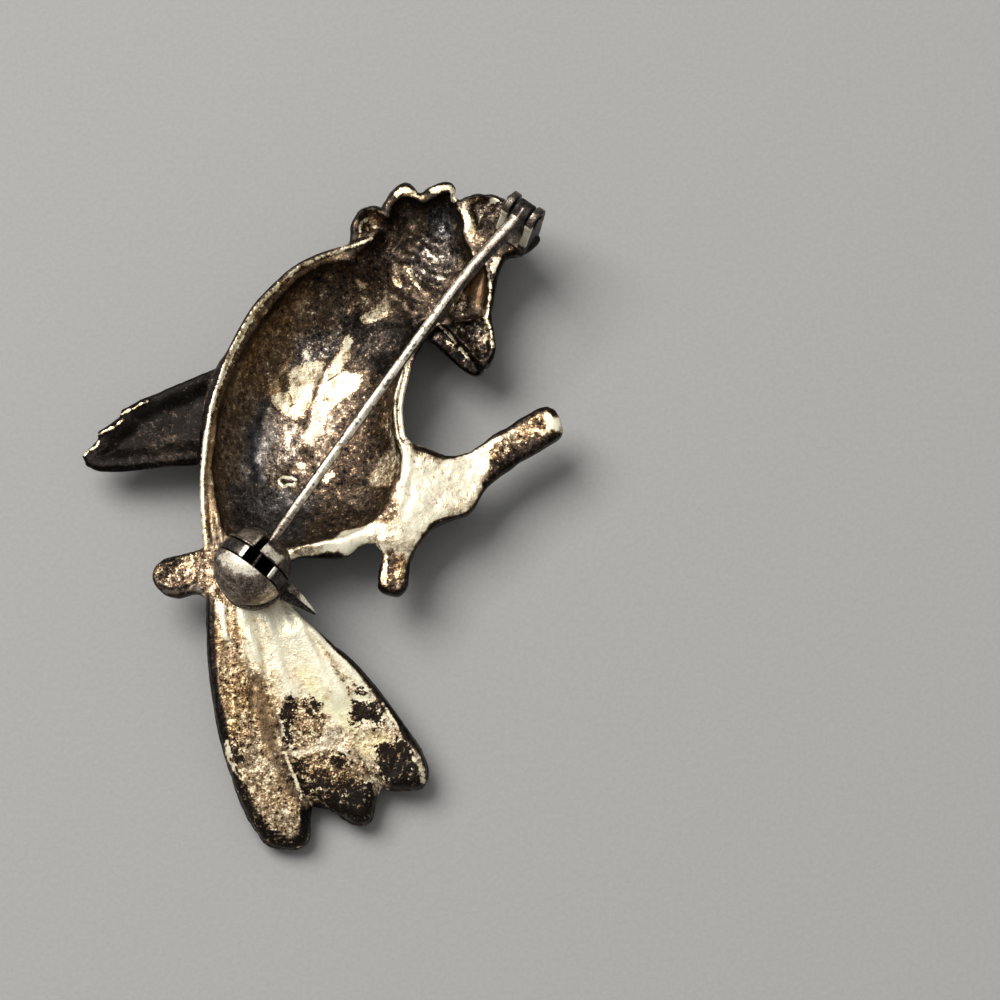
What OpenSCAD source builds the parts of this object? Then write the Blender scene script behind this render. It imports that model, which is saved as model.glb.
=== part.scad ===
// A cast silver bird brooch, lying face down: the hollow back faces +Z.
// The tail points to -Y, the head to +Y, and the bird faces +X. All sizes are in millimetres.

/* [Casting] */
// Height of the back rim above the surface that the front rests on
rim_z = 6.0; // [5.6:0.1:6.4]
// Wall left under the hollow back at its deepest
belly_wall = 0.9; // [0.8:0.1:1.2]
// Rise of each tail lobe's back above its edges
lobe_crown = 0.8; // [0.3:0.1:1.0]

/* [Ball catch] */
// Radius of the ball-shaped housing
ball_r = 2.9; // [2.8:0.05:3.0]
// Width of the slot in which the rotor turns
slot_w = 1.2; // [1.1:0.05:1.3]
// Width of the way that the stem takes out of the housing
stem_way = 0.6; // [0.58:0.02:0.7]
// Length of the rotor's lever, from the axis to its point
lever_reach = 6.0; // [5.0:0.1:6.4]

/* [Pin and hinge] */
// Height of the pin's axis above the surface that the front rests on
pin_z = 8.3; // [8.3:0.05:8.5]
// Radius of the pin's eye
eye_r = 0.9; // [0.8:0.05:1.0]
// Width of the pin's eye between the ears
eye_w = 1.3; // [1.1:0.05:1.4]
// Radius of the rivet
rivet_r = 0.36; // [0.3:0.02:0.42]

/* [Hidden] */
$fn = 64;

silver = "silver";
dark_silver = "slategray";
bright_silver = "gainsboro";

// The ball's centre, and the direction of the pin from the ball to the hinge
ball_xy = [-4.8, -5.6];
pin_angle = 54;
hinge_x = 34.3;

// Hinge bracket: ears, the room between them, and their foot
ear_gap = 1.6;
ear_t = 0.6;
ear_r = 1.05;
ear_foot_l = 2.1;
// Length of the bracket's foot past the ears' back corner
foot_edge = 0.2;
// The findings' feet: depth of their underside below the pin's axis, and thickness
foot_drop = 3.4;
foot_t = 0.8;
// Rivet heads
head_r = 0.6;
head_t = 0.24;
// Clearances: a piece at rest in its seat, the eye on the rivet, the journals, the rotor beside the slot's walls
seat_gap = 0.02;
running_fit = 0.04;
journal_fit = 0.05;
slot_clear = 0.1;

// Ball catch: middle of the slot, flat face towards the stem, foot
slot_x = 0.15;
ball_face_x = 2.45;
foot_x = -0.2;
foot_r = 2.7;
// Rotor: disc, journals and the gap, whose middle leans from the upright
rotor_r = 2.8;
rotor_t = slot_w - 2 * slot_clear;
journal_r = 1.85;
journal_l = 0.7;
gap_w = 2.3;
gap_angle = 15;
// Lever: angle from the upright, width outside the ball, thickness, and its step past the ball
lever_angle = 108;
lever_w = 1.6;
lever_t = 0.7;
lever_clear = 0.15;

// The pin's point, and its stem as [distance from the ball's centre, radius]
point_x = -0.35;
stem_profile = [
    [-0.35, 0.1],
    [0.3, 0.2],
    [2.5, 0.25],
    [3.4, 0.38],
    [20.0, 0.38],
    [29.0, 0.5],
    [33.0, 0.62],
    [33.8, 0.62]
];
// Height by which a cutter passes the rim
cutter_rise = 1.5;

// Points on the upper and the lower half of each cross-section
upper_n = 8;
lower_n = 14;
// Powers of the superellipses: a flat back with rounded edges, a round front
flat_power = 5;
round_power = 2.3;

// Columns: station along Y, left X, right X, back Z, front Z
body_rows = [
    [20.7, 2.3, 8.0, 5.4, 3.2],
    [19.9, 0.8, 8.8, 5.7, 1.8],
    [19.0, -1.4, 9.0, 5.9, 1.1],
    [17.0, -3.8, 8.8, rim_z, 0.6],
    [14.0, -6.0, 7.9, rim_z, 0.2],
    [11.5, -7.2, 7.2, rim_z, 0.05],
    [9.5, -8.0, 6.7, rim_z, 0.0],
    [7.5, -8.6, 6.3, rim_z, 0.0],
    [5.5, -8.95, 6.45, rim_z, 0.1],
    [3.0, -9.15, 7.0, rim_z, 0.35],
    [0.0, -9.15, 6.3, rim_z - 0.1, 0.9],
    [-1.5, -9.0, 5.0, rim_z - 0.2, 1.4],
    [-3.0, -8.9, 3.4, 5.6, 2.0],
    [-4.1, -8.8, -0.3, 5.4, 2.5],
    [-5.2, -8.5, -1.6, 5.3, 2.9]
];
// Columns: station along Y, left X, right X, rim Z, height of the floor over the front
body_hollow_rows = [
    [19.6, 2.4, 7.6, rim_z, 5.2],
    [18.5, 0.4, 8.2, rim_z, 3.6],
    [17.0, -2.4, 8.2, rim_z, 2.3],
    [14.0, -4.8, 7.2, rim_z, 0.5 + belly_wall],
    [11.5, -6.1, 6.4, rim_z, 0.35 + belly_wall],
    [9.5, -6.9, 5.8, rim_z, 0.3 + belly_wall],
    [7.5, -7.5, 5.4, rim_z, 0.3 + belly_wall],
    [5.5, -7.9, 5.6, rim_z, 0.35 + belly_wall],
    [3.0, -8.1, 5.9, rim_z, 0.5 + belly_wall],
    [0.0, -8.1, 5.0, rim_z, 0.9 + belly_wall],
    [-1.2, -7.9, 4.2, rim_z, 1.4 + belly_wall],
    [-2.4, -7.3, 2.0, rim_z, 3.6],
    [-3.2, -6.0, -0.9, rim_z, 4.9]
];
// Columns: station along X, low Y, high Y, back Z, front Z
head_rows = [
    [2.0, 20.5, 21.6, 5.0, 3.2],
    [2.8, 19.0, 23.2, 5.3, 2.2],
    [3.7, 17.8, 23.7, 5.4, 1.6],
    [4.6, 16.6, 23.4, 5.4, 1.2],
    [5.4, 15.9, 25.1, 5.4, 1.0],
    [6.3, 15.2, 25.6, 5.4, 0.7],
    [7.4, 14.4, 24.85, 5.4, 0.4],
    [8.4, 13.2, 25.35, 5.4, 0.15],
    [9.4, 12.2, 25.7, 5.4, 0.0],
    [10.3, 11.5, 24.5, 5.3, 0.0],
    [11.3, 10.7, 24.55, 5.2, 0.0],
    [12.2, 10.35, 24.7, 5.2, 0.2],
    [12.9, 11.0, 24.6, 5.2, 0.5],
    [13.3, 13.0, 24.5, 5.2, 0.9],
    [13.7, 19.0, 24.3, 5.2, 1.4],
    [14.6, 19.8, 23.4, 5.1, 2.2],
    [15.6, 20.1, 22.3, 5.0, 2.8],
    [16.7, 20.7, 21.2, 4.8, 3.6]
];
// Columns: station along X, low Y, high Y, rim Z, height of the floor
head_hollow_rows = [
    [3.0, 17.5, 20.8, rim_z, 4.4],
    [4.2, 15.6, 21.8, rim_z, 3.3],
    [5.2, 14.7, 22.6, rim_z, 2.9],
    [6.5, 14.3, 23.4, rim_z, 2.6],
    [8.0, 14.8, 23.6, rim_z, 2.4],
    [9.5, 14.0, 23.4, rim_z, 2.4],
    [11.0, 13.2, 22.4, rim_z, 2.5],
    [12.0, 13.4, 20.8, rim_z, 2.9],
    [12.6, 14.2, 18.8, rim_z, 3.9]
];
// Columns: station along Y, left X, right X, back Z, front Z
tail_left_rows = [
    [-4.0, -8.4, -4.6, 5.3, 3.0],
    [-7.3, -8.4, -4.9, 5.2, 2.6],
    [-10.0, -8.35, -5.2, 4.9, 2.2],
    [-12.6, -8.1, -4.7, 4.5, 1.7],
    [-16.0, -7.6, -3.5, 3.9, 1.1],
    [-18.7, -6.9, -2.3, 3.4, 0.6],
    [-21.3, -6.0, -1.0, 3.0, 0.3],
    [-23.4, -5.1, -0.6, 2.6, 0.05],
    [-24.8, -4.2, -0.8, 2.4, 0.0],
    [-25.7, -3.0, -1.3, 2.0, 0.3]
];
tail_middle_rows = [
    [-4.5, -5.6, -2.2, 5.3, 3.0],
    [-8.0, -5.5, -1.4, 5.2, 2.6],
    [-12.0, -5.1, 0.6, 4.6, 1.9],
    [-15.0, -4.1, 2.2, 4.1, 1.4],
    [-18.0, -2.8, 3.8, 3.6, 0.9],
    [-21.2, -1.1, 5.0, 3.0, 0.3],
    [-22.6, 0.7, 4.5, 2.6, 0.1],
    [-23.4, 1.9, 4.2, 2.3, 0.1],
    [-23.8, 2.8, 3.8, 2.0, 0.5]
];
tail_right_rows = [
    [-6.0, -3.8, -1.6, 5.2, 3.0],
    [-8.5, -3.4, -1.0, 5.1, 2.6],
    [-10.1, -2.8, 0.5, 4.9, 2.3],
    [-11.9, -1.6, 2.5, 4.6, 2.0],
    [-14.4, 0.2, 4.4, 4.2, 1.5],
    [-17.0, 2.0, 6.4, 3.7, 1.0],
    [-19.2, 3.2, 8.0, 3.2, 0.5],
    [-20.4, 4.0, 8.4, 2.8, 0.2],
    [-21.2, 5.0, 7.9, 2.4, 0.2]
];
// Columns: station along X, low Y, high Y, back Z, front Z
branch_rows = [
    [3.2, -3.3, 3.5, 5.5, 2.8],
    [4.5, -6.2, 4.4, 5.5, 2.5],
    [5.1, -6.8, 4.6, 5.5, 2.4],
    [5.9, -7.0, 4.8, 5.5, 2.4],
    [6.5, -6.8, 4.6, 5.5, 2.4],
    [6.9, -5.2, 4.4, 5.5, 2.4],
    [7.3, -3.4, 4.2, 5.5, 2.4],
    [8.2, -2.2, 3.95, 5.5, 2.4],
    [9.5, -1.3, 3.6, 5.5, 2.4],
    [11.1, -0.7, 4.05, 5.5, 2.4],
    [12.1, 0.3, 4.8, 5.5, 2.4],
    [12.7, 1.5, 5.15, 5.5, 2.4],
    [13.3, 2.1, 5.55, 5.5, 2.4],
    [14.7, 3.2, 6.4, 5.5, 2.5],
    [16.3, 4.1, 7.35, 5.5, 2.6],
    [17.4, 4.8, 7.6, 5.5, 2.7],
    [18.0, 5.3, 7.1, 5.4, 2.9],
    [18.35, 5.8, 6.5, 5.2, 3.4]
];
stub_rows = [
    [-12.6, -5.9, -4.8, 4.8, 3.4],
    [-12.3, -6.3, -4.4, 5.1, 3.0],
    [-11.2, -7.0, -4.0, 5.2, 2.8],
    [-9.3, -7.0, -3.6, 5.2, 2.8],
    [-7.5, -7.2, -3.4, 5.2, 2.8]
];
wing_rows = [
    [-18.4, 3.5, 4.1, 3.6, 2.9],
    [-17.9, 3.0, 4.9, 3.7, 2.7],
    [-17.2, 2.75, 6.0, 3.8, 2.7],
    [-15.5, 2.75, 7.65, 4.05, 2.7],
    [-13.4, 2.8, 8.85, 4.3, 2.8],
    [-10.9, 3.05, 9.9, 4.55, 2.9],
    [-8.5, 3.4, 11.0, 4.75, 2.9],
    [-6.5, 3.8, 11.7, 4.9, 2.9]
];

// The power of a number of either sign
function signed_pow(v, p) = sign(v) * pow(abs(v), p);

// Half a superellipse as [across, height] points, from angle t0 in equal steps
function half_ring(mid, half_w, z0, rise, power, n, t0) = [
    for (i = [0 : n - 1])
        let (t = t0 + 180 * i / n)
            [mid + half_w * signed_pow(cos(t), 2 / power), z0 + rise * signed_pow(sin(t), 2 / power)]
];

// A closed cross-section from a table row: a crowned back over a rounded front
function section(row, crown) =
    let (mid = (row[1] + row[2]) / 2, half_w = (row[2] - row[1]) / 2, edge_z = row[3] - crown)
        concat(
            half_ring(mid, half_w, edge_z, crown, crown > 0.5 ? round_power : flat_power, upper_n, 0),
            half_ring(mid, half_w, edge_z, edge_z - row[4], round_power, lower_n, 180)
        );

// The section as points in space, at its station along X or Y. Stations rise along X and fall along Y.
function ring_along_x(row, crown) = [for (p = section(row, crown)) [row[0], p[0], p[1]]];
function ring_along_y(row, crown) = [for (p = section(row, crown)) [p[0], row[0], p[1]]];

// A closed solid through rings that all have the same number of points
module loft(rings) {
    n = len(rings[0]);
    last = (len(rings) - 1) * n;
    sides = [
        for (j = [0 : len(rings) - 2], i = [0 : n - 1])
            let (a = j * n + i, b = j * n + (i + 1) % n)
                each [[a, a + n, b], [b, a + n, b + n]]
    ];
    caps = [[for (i = [0 : n - 1]) i], [for (i = [n - 1 : -1 : 0]) last + i]];
    polyhedron(points = [for (r = rings) each r], faces = concat(sides, caps), convexity = 6);
}

module loft_along_x(rows, crown) {
    loft([for (r = rows) ring_along_x(r, crown)]);
}

module loft_along_y(rows, crown) {
    loft([for (r = rows) ring_along_y(r, crown)]);
}

// A table of an inner form as a cutter, which reaches from its floor past the back rim
function cutter_rows(rows) = [for (r = rows) [r[0], r[1], r[2], r[3] + cutter_rise, r[4]]];

// The cast form before it is hollowed: body, head, tail, branch, stub and wing tip
module bird_form() {
    loft_along_y(body_rows, 0.3);
    loft_along_x(head_rows, 0.4);
    loft_along_y(tail_left_rows, lobe_crown);
    loft_along_y(tail_middle_rows, lobe_crown);
    loft_along_y(tail_right_rows, lobe_crown);
    loft_along_x(branch_rows, 0.4);
    loft_along_x(stub_rows, 0.4);
    loft_along_x(wing_rows, 0.3);
}

// The hollow back of the body and the head
module bird_hollow() {
    loft_along_y(cutter_rows(body_hollow_rows), 0.1);
    loft_along_x(cutter_rows(head_hollow_rows), 0.1);
}

// The frame of the findings: its origin is the ball's centre and its X axis is the pin's, towards the hinge
module at_catch() {
    translate([ball_xy[0], ball_xy[1], pin_z])
        rotate([0, 0, pin_angle])
            children();
}

// Turns a solid made along Z onto the findings' X axis
module along_pin() {
    rotate([0, 90, 0])
        children();
}

// Turns a solid made along Z onto the findings' Y axis, which the rivet follows
module along_rivet() {
    rotate([-90, 0, 0])
        children();
}

// The outline of one ear, seen along the rivet
module ear_outline() {
    circle(r = ear_r);
    polygon([
        [-ear_foot_l, -foot_drop],
        [ear_r * 0.3, -foot_drop],
        [ear_r * cos(-12), ear_r * sin(-12)],
        [ear_r * cos(125), ear_r * sin(125)]
    ]);
}

// The base and the two ears that carry the rivet
module hinge_bracket() {
    at_catch() translate([hinge_x, 0, 0]) difference() {
        union() {
            for (side = [-1, 1])
                translate([0, side * (ear_gap + ear_t) / 2, 0])
                    rotate([90, 0, 0])
                        linear_extrude(ear_t, center = true)
                            ear_outline();
            translate([-ear_foot_l + foot_edge, -ear_gap / 2 - ear_t / 2, -foot_drop])
                cube([ear_foot_l, ear_gap + ear_t, foot_t]);
        }
        along_rivet()
            cylinder(r = rivet_r + seat_gap, h = 4 * ear_gap, center = true);
    }
}

// The ball on its foot, with the rotor's slot, the journals' bore and the stem's way out
module catch_housing() {
    at_catch() difference() {
        union() {
            intersection() {
                sphere(r = ball_r);
                translate([-2 * ball_r, -2 * ball_r, -2 * ball_r])
                    cube([2 * ball_r + ball_face_x, 4 * ball_r, 4 * ball_r]);
            }
            translate([foot_x, 0, -foot_drop])
                cylinder(r = foot_r, h = foot_t);
        }
        translate([slot_x - slot_w / 2, -2 * ball_r, -rotor_r - slot_clear])
            cube([slot_w, 4 * ball_r, 4 * ball_r]);
        translate([slot_x, 0, 0])
            along_pin()
                cylinder(r = journal_r + journal_fit, h = slot_w + 2 * journal_l, center = true);
        along_pin()
            cylinder(r = stem_way / 2, h = 2 * ball_r);
        translate([slot_x, -stem_way / 2, 0])
            cube([2 * ball_r, stem_way, 2 * ball_r]);
    }
}

module bird_casting() {
    color(silver) {
        difference() {
            bird_form();
            bird_hollow();
        }
        hinge_bracket();
        catch_housing();
    }
}

module hinge_rivet() {
    head_y = ear_gap / 2 + ear_t + seat_gap;
    color(dark_silver)
        at_catch() translate([hinge_x, 0, 0]) along_rivet()
            rotate_extrude()
                polygon([
                    [0, -head_y - head_t],
                    [head_r * 0.6, -head_y - head_t],
                    [head_r, -head_y - head_t / 3],
                    [head_r, -head_y],
                    [rivet_r, -head_y],
                    [rivet_r, head_y],
                    [head_r, head_y],
                    [head_r, head_y + head_t / 3],
                    [head_r * 0.6, head_y + head_t],
                    [0, head_y + head_t]
                ]);
}

// The tapered pin and its eye, closed: the point stands in the rotor
module pin_stem() {
    color(bright_silver) at_catch() difference() {
        union() {
            along_pin()
                rotate_extrude()
                    polygon(concat(
                        [[0, point_x]],
                        [for (p = stem_profile) [p[1], p[0]]],
                        [[0, stem_profile[len(stem_profile) - 1][0]]]
                    ));
            translate([hinge_x, 0, 0])
                along_rivet()
                    cylinder(r = eye_r, h = eye_w, center = true);
        }
        translate([hinge_x, 0, 0])
            along_rivet()
                cylinder(r = rivet_r + running_fit, h = 2 * eye_w, center = true);
    }
}

// The lever's blade, drawn upward from the axis: narrow in the slot, wide outside the ball, ending in a point
module lever_blade() {
    rotate([90, 0, 0])
        linear_extrude(lever_t, center = true)
            polygon([
                [-rotor_t / 2, journal_r],
                [rotor_t / 2, journal_r],
                [rotor_t / 2, ball_r + lever_clear],
                [lever_w / 2, ball_r + 2 * lever_clear],
                [lever_w * 0.3, lever_reach * 0.76],
                [0.12, lever_reach],
                [-0.12, lever_reach],
                [-lever_w * 0.3, lever_reach * 0.76],
                [-lever_w / 2, ball_r + 2 * lever_clear],
                [-rotor_t / 2, ball_r + lever_clear]
            ]);
}

// The disc between the two halves of the ball, its journals, the lever, and the gap that lets the stem out
module catch_rotor() {
    color(dark_silver) at_catch() translate([slot_x, 0, 0]) difference() {
        union() {
            along_pin()
                cylinder(r = rotor_r, h = rotor_t, center = true);
            along_pin()
                cylinder(r = journal_r, h = slot_w + 2 * journal_l - 2 * slot_clear, center = true);
            rotate([lever_angle, 0, 0])
                lever_blade();
        }
        along_pin()
            cylinder(r = gap_w / 2, h = 2 * ball_r, center = true);
        rotate([gap_angle, 0, 0])
            translate([-ball_r, -gap_w / 2, 0])
                cube([2 * ball_r, gap_w, 2 * ball_r]);
    }
}

bird_casting();
hinge_rivet();
pin_stem();
catch_rotor();
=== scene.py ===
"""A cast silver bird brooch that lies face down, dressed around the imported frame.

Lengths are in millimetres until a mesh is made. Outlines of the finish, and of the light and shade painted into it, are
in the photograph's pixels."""

import math
from itertools import product

import bpy
import numpy as np
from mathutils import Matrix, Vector


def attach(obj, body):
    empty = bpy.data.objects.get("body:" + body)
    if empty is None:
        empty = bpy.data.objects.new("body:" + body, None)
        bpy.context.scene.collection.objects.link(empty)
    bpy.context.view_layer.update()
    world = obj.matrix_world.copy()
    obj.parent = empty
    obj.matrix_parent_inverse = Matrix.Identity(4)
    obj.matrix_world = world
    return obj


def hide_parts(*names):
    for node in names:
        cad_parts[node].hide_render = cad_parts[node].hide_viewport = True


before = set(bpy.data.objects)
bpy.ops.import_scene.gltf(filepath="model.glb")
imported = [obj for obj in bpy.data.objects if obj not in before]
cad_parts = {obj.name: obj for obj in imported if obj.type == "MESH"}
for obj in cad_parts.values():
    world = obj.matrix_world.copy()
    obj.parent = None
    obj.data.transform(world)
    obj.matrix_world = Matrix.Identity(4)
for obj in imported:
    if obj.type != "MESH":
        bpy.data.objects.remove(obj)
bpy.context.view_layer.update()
MM = 0.001
CAST_TRIANGLES = 190000

# ---------------------------------------------------------------- camera
TARGET = (13.6, 0.1, 6.0)
DISTANCE = 300.0
ELEVATION = math.radians(75)
COS, SIN = math.cos(ELEVATION), math.sin(ELEVATION)
SENSOR = 36.0
FOCAL = 3.99  # focal length over sensor width
PICTURE = 1000  # its width and height in pixels
CENTRE = PICTURE / 2
PX_A_MM = PICTURE * FOCAL / DISTANCE


def in_scene(name, data):
    o = bpy.data.objects.new(name, data)
    bpy.context.collection.objects.link(o)
    return o


def camera():
    cam = bpy.data.cameras.new("camera")
    cam.sensor_width = SENSOR
    cam.lens = SENSOR * FOCAL
    cam.clip_start, cam.clip_end = 0.01, 5.0
    o = in_scene("camera", cam)
    o.location = (TARGET[0] * MM, (TARGET[1] - DISTANCE * COS) * MM, (TARGET[2] + DISTANCE * SIN) * MM)
    o.rotation_euler = (math.pi / 2 - ELEVATION, 0, 0)
    bpy.context.scene.camera = o


def photo_px(x, y, z):
    """The picture's pixel at which a point in mm is seen."""
    dx, dy, dz = x - TARGET[0], y - TARGET[1], z - TARGET[2]
    depth = DISTANCE + dy * COS - dz * SIN
    return CENTRE + PICTURE * FOCAL * dx / depth, CENTRE - PICTURE * FOCAL * (dy * SIN + dz * COS) / depth


camera()

# ---------------------------------------------------------------- fields on a grid
CELL = 0.13
GX = np.arange(-18.95, 18.95, CELL)
GY = np.arange(-26.2, 26.2, CELL)
GZ = np.arange(-0.35, 6.75, CELL)
PX, PY = np.meshgrid(GX, GY, indexing="ij")
FAR = 9.0  # a distance past every edge
TINY = 1e-12
NOISE_TABLE = 64  # the noise repeats after so many features


def points(text):
    return np.array([[float(v) for v in pair.split(",")] for pair in text.split()])


def curve(pts, steps=3):
    """A closed smooth curve through the points, which doesn't swing out where they are unevenly spaced."""
    p = np.asarray(pts, float)
    nxt = np.roll(p, -1, 0)
    length = np.linalg.norm(nxt - p, axis=1)[:, None] + 1e-9
    before = np.roll(length, 1, 0)
    speed = ((nxt - p) / length * before + (p - np.roll(p, 1, 0)) / before * length) / (length + before)
    m0, m1 = speed * length, np.roll(speed, -1, 0) * length
    out = []
    for t in np.arange(steps) / steps:
        ends = (2 * t**3 - 3 * t**2 + 1) * p + (t**3 - 2 * t**2 + t) * m0
        out.append(ends + (3 * t**2 - 2 * t**3) * nxt + (t**3 - t**2) * m1)
    return np.stack(out, 1).reshape(-1, 2)


def outline(text):
    return curve(points(text))


def square_to(x, y, a, b):
    """Squared distance to the stretch from a to b."""
    ex, ey = b - a
    wx, wy = x - a[0], y - a[1]
    t = np.clip((wx * ex + wy * ey) / (ex * ex + ey * ey + TINY), 0, 1)
    return (wx - t * ex) ** 2 + (wy - t * ey) ** 2


def inside_by(poly, x, y):
    """Signed distance to a closed polygon, positive inside."""
    best = np.full(x.shape, 1e9)
    inside = np.zeros(x.shape, bool)
    for a, b in zip(poly, np.roll(poly, -1, 0)):
        best = np.minimum(best, square_to(x, y, a, b))
        crossed = x - a[0] < (b[0] - a[0]) * (y - a[1]) / (b[1] - a[1] + TINY)
        inside ^= ((a[1] > y) != (b[1] > y)) & crossed
    d = np.sqrt(best)
    return np.where(inside, d, -d)


def line_by(line, x, y):
    """Distance to an open line."""
    best = np.full(x.shape, 1e9)
    for a, b in zip(line[:-1], line[1:]):
        best = np.minimum(best, square_to(x, y, a, b))
    return np.sqrt(best)


def ease(t):
    return t * t * (3 - 2 * t)


def step(a, lo, hi):
    """0 at lo, 1 at hi, smooth between them."""
    return ease(np.clip((a - lo) / (hi - lo), 0, 1))


def noise(x, y, size, seed):
    """Smooth noise from -1 to 1 with features about size mm wide."""
    n = NOISE_TABLE
    t = np.random.default_rng(seed).uniform(-1, 1, (n, n))
    fx, fy = x / size + 7.3, y / size + 3.1
    ix, iy = np.floor(fx).astype(int), np.floor(fy).astype(int)
    u, v = ease(fx - ix), ease(fy - iy)
    a, b = t[ix % n, iy % n], t[(ix + 1) % n, iy % n]
    c, d = t[ix % n, (iy + 1) % n], t[(ix + 1) % n, (iy + 1) % n]
    return (a * (1 - u) + b * u) * (1 - v) + (c * (1 - u) + d * u) * v


def at(grid, x, y):
    """A 2D grid read at any points."""
    fx = np.clip((x - GX[0]) / CELL, 0, len(GX) - 1.001)
    fy = np.clip((y - GY[0]) / CELL, 0, len(GY) - 1.001)
    ix, iy = fx.astype(int), fy.astype(int)
    u, v = fx - ix, fy - iy
    near = grid[ix, iy] * (1 - u) + grid[ix + 1, iy] * u
    return near * (1 - v) + (grid[ix, iy + 1] * (1 - u) + grid[ix + 1, iy + 1] * u) * v


def bump_at(d, width):
    return np.exp(-((d / width) ** 2))


def smooth_max(a, b, k):
    h = np.clip(0.5 + 0.5 * (a - b) / k, 0, 1)
    return b + (a - b) * h + k * h * (1 - h)


def smooth_min(a, b, k):
    return -smooth_max(-a, -b, k)


def surface(field, xs, ys, zs):
    """A closed quad mesh on the zero surface of a field that is positive inside: naive surface nets."""
    s = field > 0
    cells = tuple(n - 1 for n in field.shape)
    nx, ny, nz = cells
    corners = list(product((0, 1), repeat=3))
    count = sum(s[i : i + nx, j : j + ny, k : k + nz].astype(np.int8) for i, j, k in corners)
    cx, cy, cz = np.nonzero((count > 0) & (count < 8))
    ids = np.full(cells, -1, np.int32)
    ids[cx, cy, cz] = np.arange(len(cx))
    total = np.zeros((len(cx), 3))
    hits = np.zeros(len(cx))
    value = {(i, j, k): field[cx + i, cy + j, cz + k] for i, j, k in corners}
    for axis in range(3):
        for a in (c for c in corners if c[axis] == 0):
            fa, fb = value[a], value[a[:axis] + (1,) + a[axis + 1 :]]
            cross = (fa > 0) != (fb > 0)
            t = np.where(cross, fa / np.where(cross, fa - fb, 1), 0)
            for c in range(3):
                total[:, c] += np.where(cross, a[c] + (t if c == axis else 0), 0)
            hits += cross
    v = np.stack([cx, cy, cz], 1) + total / hits[:, None]
    v = v * [a[1] - a[0] for a in (xs, ys, zs)] + [a[0] for a in (xs, ys, zs)]
    quads = []
    for axis in range(3):
        lo, hi = [slice(None)] * 3, [slice(None)] * 3
        lo[axis], hi[axis] = slice(0, -1), slice(1, None)
        sa = s[tuple(lo)]
        base = np.nonzero(sa != s[tuple(hi)])
        u, w = (axis + 1) % 3, (axis + 2) % 3
        ok = (base[u] > 0) & (base[w] > 0) & (base[u] < cells[u]) & (base[w] < cells[w])
        base = [c[ok] for c in base]
        ring = []
        for du, dw in ((1, 1), (0, 1), (0, 0), (1, 0)):
            c = list(base)
            c[u] = c[u] - du
            c[w] = c[w] - dw
            ring.append(ids[tuple(c)])
        ring = np.stack(ring, 1)
        out = sa[tuple(base)]
        ring[~out] = ring[~out][:, ::-1]
        quads.append(ring)
    return v, np.concatenate(quads)


def mesh_object(name, verts, faces, body):
    """An object from points in mm, which rides on a body."""
    me = bpy.data.meshes.new(name)
    me.from_pydata((verts * MM).tolist(), [], faces.tolist())
    me.update()
    me.shade_smooth()
    o = in_scene(name, me)
    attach(o, body)
    return o


# ---------------------------------------------------------------- patches of the finish and of painted light and shade, in the picture's pixels
# pale patches of clean silver in the tarnish, which also stand for painted highlights: in the bowl, in the head, and a
# few specks
CLEAN_AND_LIT = """
288.9,374 292,370 296.2,365.9 301,366 305,361 311,362.5 316.8,359.8 321,361 326.8,362.9 322.3,374 317.9,382.8 315,390.1
312.4,398.9 308,406.3 302.8,412.1 304,417 298.6,416.5 294.8,419.5 288.9,415.8 283,412.1 277.1,406.3 272,400.4 271.3,396
279.3,392.3 284.5,394.5 288.9,388.7 290.3,381.3 287.7,376.9;
347.6,333.7 352.7,336.6 353.1,344.7 349,352 348.3,358.6 343.2,365.2 341.7,371.8 349,371.1 357.8,372.5 362.2,374
359.3,385.7 353.4,391.6 343.2,398.9 334.4,404.8 329.2,412.1 325.6,420.9 322.6,426.8 324.1,432.7 319.7,435.6 315.3,438.6
317.5,443 313.8,447.4 308,446.6 302.8,440 302.1,434.9 308,431.2 310.2,423.9 312.4,415.1 313.8,406.3 316.8,396
319.7,387.2 322.6,378.4 325.6,372.5 329.2,366.7 335.8,357.9 341.7,349.1 343.2,340.3;
294.8,462.8 300.6,461.3 307.2,462.8 306.8,467.2 300.6,468.6 295.5,467.2;
322.6,478.9 326.3,475.2 332.2,470.5 334.1,473 329.2,480.8 324.1,483.7;
302.8,349.8 306.5,350.5 310.2,356.4 312.4,361.5 308,363 303.6,357.9;
285.9,431.8 290.8,432.2 291.6,437.1 289.3,443.9 290.1,449.8 286.9,449.3 285.5,443;
382.1,301.9 386.3,295.6 388.8,304.7 386.3,313.8 377.9,320.1 368.1,324.6 362.4,322.2 361,315.9 368.1,312 375.1,308.2;
356.8,280.1 361,282.2 367.4,286.5 364.6,288.1 359.4,287.6;
361,296.3 368.1,298.4 370.9,301.6 365.3,301.9;
433.3,275 441,273.5 448.3,278 443.8,281.8 436.8,281.1;
424.2,245.8 429.1,247.9 433,254.2 440.7,262.6 438.2,266.1 432.6,261.2 426.7,254.2;
405.2,268.9 412.3,267.5 415.8,279.4 419.3,285.2 424,290 421,291 413.1,284.5 409.5,277.3;
461.4,201.1 466.3,203.7 468,212.1 470.8,219.1 474,226 474,234 471,240 468,240 464,226.1 461.8,212.1;
476.8,335.6 481.7,337 487.3,335.6 488.7,339.8 483.1,341.9 478.2,340.5;
460.5,291 466,294 465,298.5 461,297.5
""".split(";")
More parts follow.
